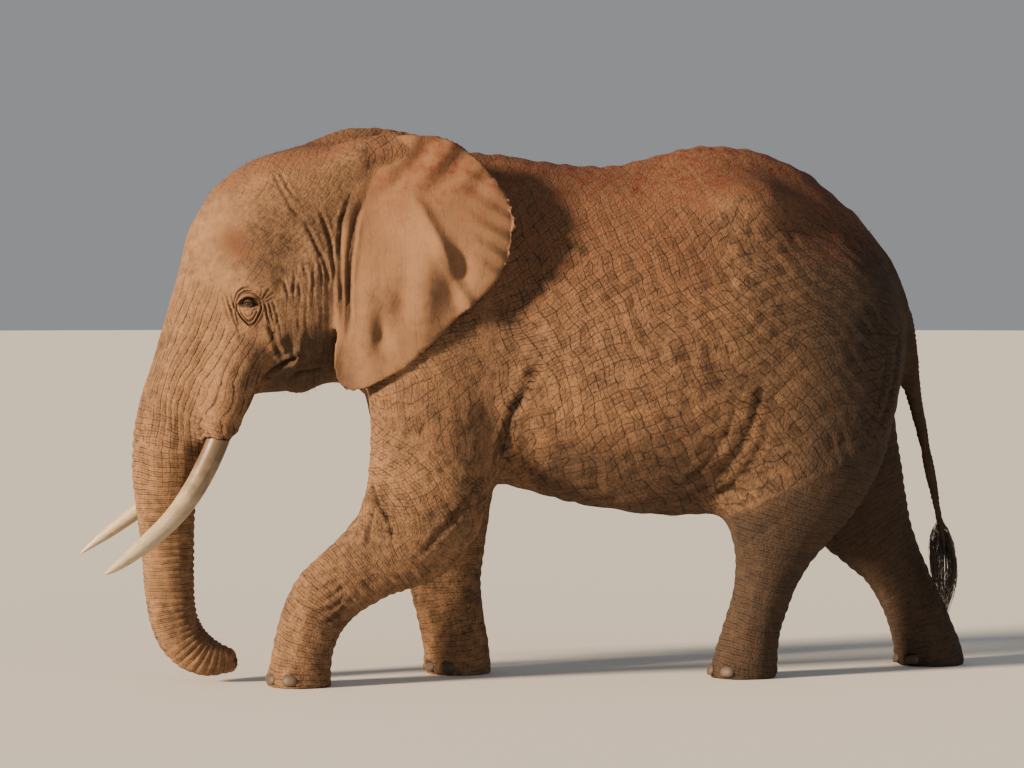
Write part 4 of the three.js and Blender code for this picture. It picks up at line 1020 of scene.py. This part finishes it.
class ELEPHANT_OT_hide(bpy.types.Operator):
    """One hide over all the flesh, from the trunk's tip to the tail's end"""
    bl_idname = "elephant.hide"
    bl_label = "Hide"

    def execute(self, context):
        sizes = context.scene.elephant_sizes
        mesh = first_net(sizes.net)
        smooth_net(mesh)
        hide = Hide(mesh)
        forms(hide)
        ear_forms(hide)
        trunk_tip(hide)
        tusk_lips(hide)
        hide.settle()
        for node, side in (("eye_left", LEFT), ("eye_right", RIGHT)):
            eyelids(hide, node, side)
        folds(hide)
        feet(hide)
        wrinkles(hide)
        place = hide.place
        place[:, 2] = np.maximum(place[:, 2], 0.0)
        hide.put(place)
        # crease holds how much shade is painted in each fold, groove and nostril
        store(mesh, "crease", hide.crease)
        held = 0.35 * np.clip(hide.share["head"] + hide.share["trunk"], 0, 1)
        for node in ("eye_left", "eye_right"):
            held = np.maximum(held, 1 - ramp(0.098, 0.120, np.linalg.norm(place - middle(node), axis=1)))
        thin = sizes.faces / triangles(mesh)
        mesh = modified(mesh, [("DECIMATE", {"ratio": thin, "vertex_group": "kept", "invert_vertex_group": True,
                                             "vertex_group_factor": HELD})], np.round(held, 1))
        dress(mesh)
        shown("hide", mesh, hide_material(context.scene.elephant_colours), "hide", *FLESH)
        return {"FINISHED"}


def triangles(mesh):
    mesh.calc_loop_triangles()
    return len(mesh.loop_triangles)


def smooth_net(mesh):
    """Takes the facets out of the net without shrinking it, leaves thin parts as they are, and refines the head."""
    edges = neighbours(mesh)
    place = places(mesh)
    share = region_shares(place, edges)
    tip = np.exp(-(np.linalg.norm(place - TRUNK_TIP, axis=1) / 0.12) ** 2)
    rate = np.clip(1 - 1.6 * share["ear"] - 1.6 * share["tail"] - 0.8 * tip, 0, 1)
    soles = ramp(0.0, 0.03, place[:, 2])
    crown = (share["head"] + share["neck"]) * ramp(2.36, 2.5, place[:, 2])
    rate *= (0.3 + 0.7 * soles) * (1 - 0.65 * crown)
    rounds = (0.9,) * 45
    once = evened(place, edges, rounds, rate)
    twice = once + evened(place - once, edges, rounds, rate)
    thin = np.clip(share["ear"] + share["tail"] + tip, 0, 1)
    twice = evened(twice, edges, (0.55, -0.57) * 14, thin)
    set_places(mesh, twice)
    twice -= outward(mesh) * (EAR_SWELL * ramp(0.5, 0.95, share["ear"]))[:, None]
    set_places(mesh, twice)
    for name, value in share.items():
        store(mesh, name, value)
    eyes = [middle(node) for node in ("eye_left", "eye_right")]
    for reach in (None, 0.115, 0.036):
        place = places(mesh)
        near = np.min([np.linalg.norm(place - eye, axis=1) for eye in eyes], axis=0)
        if reach is None:
            fine = (read(mesh, "head") + read(mesh, "trunk")) > 0.5
        else:
            fine = near < reach
        refine(mesh, fine)
        now = (read(mesh, "head") + read(mesh, "trunk")) * (1 if reach is None else 0)
        if reach is None:
            set_places(mesh, evened(places(mesh), neighbours(mesh), (0.6, -0.62) * 3, np.clip(now, 0, 1)))


def dress(mesh):
    """Stores what the hide's material reads: where earth lies, where shade is painted on the hindquarters, belly, jaw
    and ear lobe, how coarse the hide is, and the lay of its lines.
    """
    place, normal = places(mesh), outward(mesh)
    share = {name: read(mesh, name) for name in REGIONS}
    store(mesh, "dust", dust_on(place, normal, share))
    # how much shade is painted on the hindquarters, belly, jaw and ear lobe
    store(mesh, "tone_and_painted_shade", painted_shade_on(place, share))
    lay, firm = lays(place, share)
    store(mesh, "lie", np.column_stack([lay, 0 * lay[:, 0]]))
    store(mesh, "rule", np.column_stack([firm, 0 * firm[:, 0]]))
    forehead = np.exp(-((place[:, 0] + 1.60) / 0.16) ** 2 - ((place[:, 2] - 2.10) / 0.30) ** 2)
    smooth = np.maximum(0.8 * share["ear"], forehead * share["head"])
    store(mesh, "coarse", np.clip(1 - smooth - 0.5 * share["trunk"], 0.1, 1))
    for name in REGIONS:
        mesh.attributes.remove(mesh.attributes[name])


class ELEPHANT_OT_eyes(bpy.types.Operator):
    """Both eyeballs, each with its cornea standing a little out of it"""
    bl_idname = "elephant.eyes"
    bl_label = "Eyes"

    CORNEA = 0.62  # radians from the middle of the pupil to the cornea's rim
    BULGE = 0.0014

    def execute(self, context):
        material = eye_material(context.scene.elephant_colours)
        for node, side in (("eye_left", LEFT), ("eye_right", RIGHT)):
            bm = bmesh.new()
            bmesh.ops.create_uvsphere(bm, u_segments=64, v_segments=48, radius=EYE_RADIUS)
            mesh = bpy.data.meshes.new(node)
            bm.to_mesh(mesh)
            bm.free()
            place = places(mesh)
            turn = np.arccos(np.clip(place[:, 2] / EYE_RADIUS, -1, 1))
            rise = self.BULGE * np.clip(1 - (turn / self.CORNEA) ** 2, 0, 1)
            spread = np.arctan2(place[:, 1], place[:, 0])
            store(mesh, "turn", turn)
            store(mesh, "lie", np.stack([np.cos(spread), np.sin(spread), 0.3 * turn], axis=1))
            place *= (1 + rise / EYE_RADIUS)[:, None]
            gaze = Vector((-0.38, side * 0.92, -0.08)).to_track_quat("Z", "Y").to_matrix()
            set_places(mesh, place @ np.array(gaze).T + middle(node))
            shown(f"{node}_ball", mesh, material, "eye", node)
        return {"FINISHED"}


class ELEPHANT_OT_tusks(bpy.types.Operator):
    """Both tusks, round and smooth, finely scuffed"""
    bl_idname = "elephant.tusks"
    bl_label = "Tusks"

    def execute(self, context):
        material = ivory_material(context.scene.elephant_colours)
        for node in ("tusk_left", "tusk_right"):
            mesh = rounded(node, 3)
            place = places(mesh)
            tip = place[place[:, 2].argmin()]
            run = np.linalg.norm(place - tip, axis=1)
            bins = np.linspace(0, run.max(), 14)
            heart = [place[(run >= a) & (run <= b)].mean(0) for a, b in zip(bins[:-1], bins[1:])]
            line = curve_through([tip, *heart[1:]])
            _, along, which = along_line(place, line)
            normal = outward(mesh)
            lie = (place - line[which]) + np.stack([0 * along, 0 * along, 0.05 * along], axis=1)
            scuffed = 0.0011 * noise(lie, 0.012, 71) + 0.0016 * noise(place, 0.09, 72)
            set_places(mesh, place + normal * scuffed[:, None])
            store(mesh, "run", along / along.max())
            store(mesh, "lie", lie)
            shown(f"{node}_ivory", mesh, material, "ivory", node)
        return {"FINISHED"}


class ELEPHANT_OT_toenails(bpy.types.Operator):
    """All the toenails: worn plates with upright ridges, set in the front edge of each foot"""
    bl_idname = "elephant.toenails"
    bl_label = "Toenails"

    def execute(self, context):
        bm = bmesh.new()
        for node in NAILS:
            leg = node.removeprefix("toenail_").rsplit("_", 1)[0]
            low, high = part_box(node)
            at = (low + high) / 2
            heel = Vector(LEG_LINES[leg][-1][:2] + (at.z,))
            out = (at - heel).normalized()
            turn = math.atan2(out.y, out.x)
            plate = bmesh.ops.create_uvsphere(bm, u_segments=32, v_segments=20, radius=1)["verts"]
            for v in plate:
                ridge = 1 + 0.02 * math.sin(v.co.y * 26)
                v.co = Vector((v.co.x * 0.019 * ridge, v.co.y * 0.040, v.co.z * 0.031 - 0.002))
                v.co.z = max(v.co.z, -0.024)
                v.co.x += 0.006 * (-v.co.z / 0.03)
            bmesh.ops.rotate(bm, verts=plate, cent=(0, 0, 0), matrix=Euler((0, 0, turn)).to_matrix())
            bmesh.ops.translate(bm, verts=plate, vec=at - out * 0.010)
        mesh = bpy.data.meshes.new("toenails")
        bm.to_mesh(mesh)
        bm.free()
        shown("toenails", mesh, horn_material(context.scene.elephant_colours), "toenail", *NAILS)
        return {"FINISHED"}


def hairs(name, routes, width, line, colours, slot, *nodes):
    """One mesh of thin tapered hairs, each along its own route, with a patch of the bake map at its root."""
    sides = 3
    count, steps = routes.shape[:2]
    turns = np.arange(sides) * 2 * math.pi / sides
    ahead = np.gradient(routes, axis=1)
    ahead /= np.maximum(np.linalg.norm(ahead, axis=2, keepdims=True), 1e-9)
    across = np.cross(ahead, (0.31, 0.87, 0.38))
    across /= np.maximum(np.linalg.norm(across, axis=2, keepdims=True), 1e-9)
    over = np.cross(ahead, across)
    taper = (1 - 0.8 * np.linspace(0, 1, steps) ** 1.5)[None, :, None, None] * (width / 2)
    ring = across[:, :, None] * np.cos(turns)[:, None] + over[:, :, None] * np.sin(turns)[:, None]
    place = routes[:, :, None] + ring * taper
    index = np.arange(count * steps * sides).reshape(count, steps, sides)
    a, b = index[:, :-1], index[:, 1:]
    quads = np.stack([a, np.roll(a, -1, 2), np.roll(b, -1, 2), b], axis=-1).reshape(-1, 4)
    caps = np.concatenate([index[:, 0, ::-1], index[:, -1]])
    mesh = bpy.data.meshes.new(name)
    mesh.from_pydata(place.reshape(-1, 3).tolist(), [], quads.tolist() + caps.tolist())
    mesh.update()
    lay = wrapped(routes[:, 0], line, 1.0)
    spot = np.stack([lay[:, 0] / math.pi, lay[:, 1] / max(lay[:, 1].max(), 1e-6)], axis=1) * 0.94 + 0.03
    along = np.linspace(0, 1, steps)
    patch = np.zeros((count, steps, sides, 2))
    patch[..., 0] = spot[:, None, None, 0] + 0.003 * (np.arange(sides) / sides)[None, None, :]
    patch[..., 1] = spot[:, None, None, 1] + 0.003 * along[None, :, None]
    corners = np.empty(len(mesh.loops), np.int32)
    mesh.loops.foreach_get("vertex_index", corners)
    mesh.uv_layers.new(name="OFBake").data.foreach_set("uv", patch.reshape(-1, 2)[corners].astype(np.float32).ravel())
    return shown(name, mesh, hair_material(colours), slot, *nodes)


class ELEPHANT_OT_tail_hair(bpy.types.Operator):
    """The tail's brush: wiry hairs down both edges of its end, which arch out and meet again below it"""
    bl_idname = "elephant.tail_hair"
    bl_label = "Tail hair"

    def execute(self, context):
        sizes = context.scene.elephant_sizes
        rng = np.random.default_rng(5)
        low, high = (np.array(v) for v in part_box("tail_tuft"))
        tail = curve_through([(2.010, 0, 0.74), (2.020, 0, 0.68), (2.03, 0, 0.625), (2.038, 0, 0.575)])
        count = sizes.tail_hairs
        share = rng.random(count) ** 0.75
        start = tail[(share * (len(tail) - 1)).astype(int)]
        edge = np.where(rng.random(count) < 0.45, rng.uniform(-1, 1, count), np.sign(rng.random(count) - 0.5))
        spread = rng.normal(0, 0.3, count)
        out = np.stack([edge * np.cos(spread), np.sin(spread), 0 * edge], axis=1)
        end = np.array([(low[0] + high[0]) / 2 + 0.016, 0, low[2]])
        steps = 9
        routes = np.zeros((count, steps, 3))
        drop = start[:, 2] - end[2]
        long = rng.uniform(0.55, 1.0, count)
        for n, t in enumerate(np.linspace(0, 1, steps)):
            belly = np.sin(math.pi * min(1, t) ** 0.8) * rng.uniform(0.82, 1.0, count)
            wide = 0.060 * belly[:, None] * out
            fall = start * (1 - t) + end * t
            fall[:, 2] = start[:, 2] - drop * long * t
            fall[:, 0] = start[:, 0] * (1 - t ** 1.3) + end[0] * t ** 1.3
            routes[:, n] = fall + wide + rng.normal(0, 0.002, (count, 3)) * t + 0.011 * out * (1 - t)
        routes[:, :, 2] = np.maximum(routes[:, :, 2], low[2])
        line = curve_through([(1.80, 0, 1.55), (1.9, 0, 1.1), *map(tuple, tail[::8])])
        hairs("tail_hair", routes, sizes.tail_hair, line, context.scene.elephant_colours, "tail_hair", "tail_tuft")
        return {"FINISHED"}


class ELEPHANT_OT_bristles(bpy.types.Operator):
    """Eyelashes, and the sparse stiff bristles of the crown, back, chin and trunk's end"""
    bl_idname = "elephant.bristles"
    bl_label = "Bristles"

    def execute(self, context):
        sizes = context.scene.elephant_sizes
        rng = np.random.default_rng(9)
        mesh = bpy.data.objects["hide"].data
        place, normal = places(mesh), outward(mesh)
        x, y, z = place.T
        ridge = np.exp(-(y / 0.16) ** 2) * (normal[:, 2] > 0.5) * (z > 2.1) * (x < 1.7)
        chin = np.exp(-np.linalg.norm((place - (-1.17, 0, 1.43)) / (0.10, 0.12, 0.07), axis=1) ** 2)
        tip = np.exp(-np.linalg.norm((place - TRUNK_TIP) / 0.16, axis=1) ** 2) * 0.6
        want = ridge + 1.6 * chin + tip
        chosen = rng.choice(len(place), sizes.bristles, p=want / want.sum())
        lean = normal[chosen] + rng.normal(0, 0.35, (sizes.bristles, 3)) + np.array((0.25, 0, 0))
        lean /= np.linalg.norm(lean, axis=1)[:, None]
        long = rng.uniform(0.012, 0.032, sizes.bristles)
        steps = np.linspace(0, 1, 4)
        routes = place[chosen][:, None] - 0.003 * normal[chosen][:, None] + (
            lean[:, None] * (long[:, None] * steps)[..., None])
        routes[:, :, 2] -= (0.25 * long[:, None] * steps ** 2)
        lashes = [self.lashes(mesh, node, side, rng, place, normal) for node, side in
                  (("eye_left", LEFT), ("eye_right", RIGHT))]
        routes = np.concatenate([routes, *lashes])
        hairs("bristles", routes, 0.0009, curve_through(BODY_LINE), context.scene.elephant_colours, "tail_hair")
        return {"FINISHED"}

    @staticmethod
    def lashes(mesh, node, side, rng, place, normal):
        """Long lashes along the upper lid, sweeping out and down."""
        at = middle(node)
        near = np.linalg.norm(place - at, axis=1) < 0.075
        out = normal[near].mean(0)
        out /= np.linalg.norm(out)
        ahead = np.array((-1.0, 0.0, 0.0)) - out * -out[0]
        ahead /= np.linalg.norm(ahead)
        up = np.array((0.0, 0.0, 1.0)) - out * out[2]
        up /= np.linalg.norm(up)
        count = 34
        a = np.linspace(-0.9, 0.9, count) * LID_OPENING[0]
        b = LID_OPENING[1] * (1 - (a / LID_OPENING[0]) ** 2) + 0.001
        h = np.sqrt(np.maximum((EYE_RADIUS + 0.002) ** 2 - a ** 2 - b ** 2, 0))
        root = at + a[:, None] * ahead + b[:, None] * up + h[:, None] * out
        steps = np.linspace(0, 1, 4)
        long = rng.uniform(0.020, 0.034, count)
        way = out + 0.25 * up + (a / LID_OPENING[0])[:, None] * 0.5 * ahead + rng.normal(0, 0.06, (count, 3))
        way /= np.linalg.norm(way, axis=1)[:, None]
        routes = root[:, None] + way[:, None] * (long[:, None] * steps)[..., None]
        routes[:, :, 2] -= 0.55 * long[:, None] * steps ** 2
        return routes


class ELEPHANT_OT_studio(bpy.types.Operator):
    """A pale floor, soft lights and the camera"""
    bl_idname = "elephant.studio"
    bl_label = "Studio"

    # each lamp: where it shines from, how wide it looks in degrees, its strength and its tint
    LIGHTS = (("key", (-0.95, -0.32, 0.31), 9, 12.0, "#ffe1bd"), ("fill", (0.20, -0.92, 0.35), 60, 0.30, "#eaf0ff"))
    LENS = 145.3
    STAND = (-3.6094, -19.703, 2.1683)
    LOOK_DOWN, LOOK_ROUND = 2.134, 10.0

    def execute(self, context):
        scene = context.scene
        bm = bmesh.new()
        bmesh.ops.create_circle(bm, cap_ends=True, radius=70, segments=96)
        mesh = bpy.data.meshes.new("floor")
        bm.to_mesh(mesh)
        bm.free()
        floor = bpy.data.objects.new("floor", mesh)
        mesh.materials.append(floor_material(scene.elephant_colours))
        scene.collection.objects.link(floor)
        world = bpy.data.worlds.new("studio")
        scene.world = world
        world.use_nodes = True
        sky = world.node_tree.nodes["Background"]
        sky.inputs["Color"].default_value = linear("#d6d9dd")
        sky.inputs["Strength"].default_value = 0.42
        for name, way, width, power, tint in self.LIGHTS:
            light = bpy.data.lights.new(name, "SUN")
            light.angle = math.radians(width)
            light.energy = power
            light.color = linear(tint)[:3]
            lamp = bpy.data.objects.new(name, light)
            lamp.location = Vector(way) * 12
            lamp.rotation_euler = (-Vector(way)).to_track_quat("-Z", "Y").to_euler()
            scene.collection.objects.link(lamp)
        camera = bpy.data.objects.new("camera", bpy.data.cameras.new("camera"))
        camera.data.sensor_width = 36
        camera.data.lens = self.LENS
        camera.data.clip_end = 200
        camera.location = self.STAND
        camera.rotation_euler = Euler((math.radians(90 - self.LOOK_DOWN), 0, math.radians(-self.LOOK_ROUND)))
        scene.collection.objects.link(camera)
        scene.camera = camera
        return {"FINISHED"}


class ELEPHANT_PT_panel(bpy.types.Panel):
    """The elephant's settings and its pieces, in the order that they are made"""
    bl_idname = "ELEPHANT_PT_panel"
    bl_label = "Bush elephant"
    bl_space_type = "VIEW_3D"
    bl_region_type = "UI"
    bl_category = "Elephant"

    def draw(self, context):
        for name, group in GROUPS.items():
            for key in group.__annotations__:
                self.layout.prop(getattr(context.scene, name), key)
        for operator in OPERATORS:
            self.layout.operator(operator.bl_idname)


OPERATORS = (ELEPHANT_OT_hide, ELEPHANT_OT_eyes, ELEPHANT_OT_tusks, ELEPHANT_OT_toenails, ELEPHANT_OT_tail_hair,
             ELEPHANT_OT_bristles, ELEPHANT_OT_studio)
GROUPS = {"elephant_sizes": ElephantSizes, "elephant_colours": ElephantColours}


def register():
    for kind in (*GROUPS.values(), *OPERATORS, ELEPHANT_PT_panel):
        bpy.utils.register_class(kind)
    for name, group in GROUPS.items():
        setattr(bpy.types.Scene, name, PointerProperty(type=group))


def unregister():
    for name in GROUPS:
        delattr(bpy.types.Scene, name)
    for kind in (ELEPHANT_PT_panel, *reversed(OPERATORS), *GROUPS.values()):
        bpy.utils.unregister_class(kind)


def main():
    register()
    for operator in OPERATORS:
        module, name = operator.bl_idname.split(".")
        getattr(getattr(bpy.ops, module), name)()


if __name__ == "__main__":
    main()
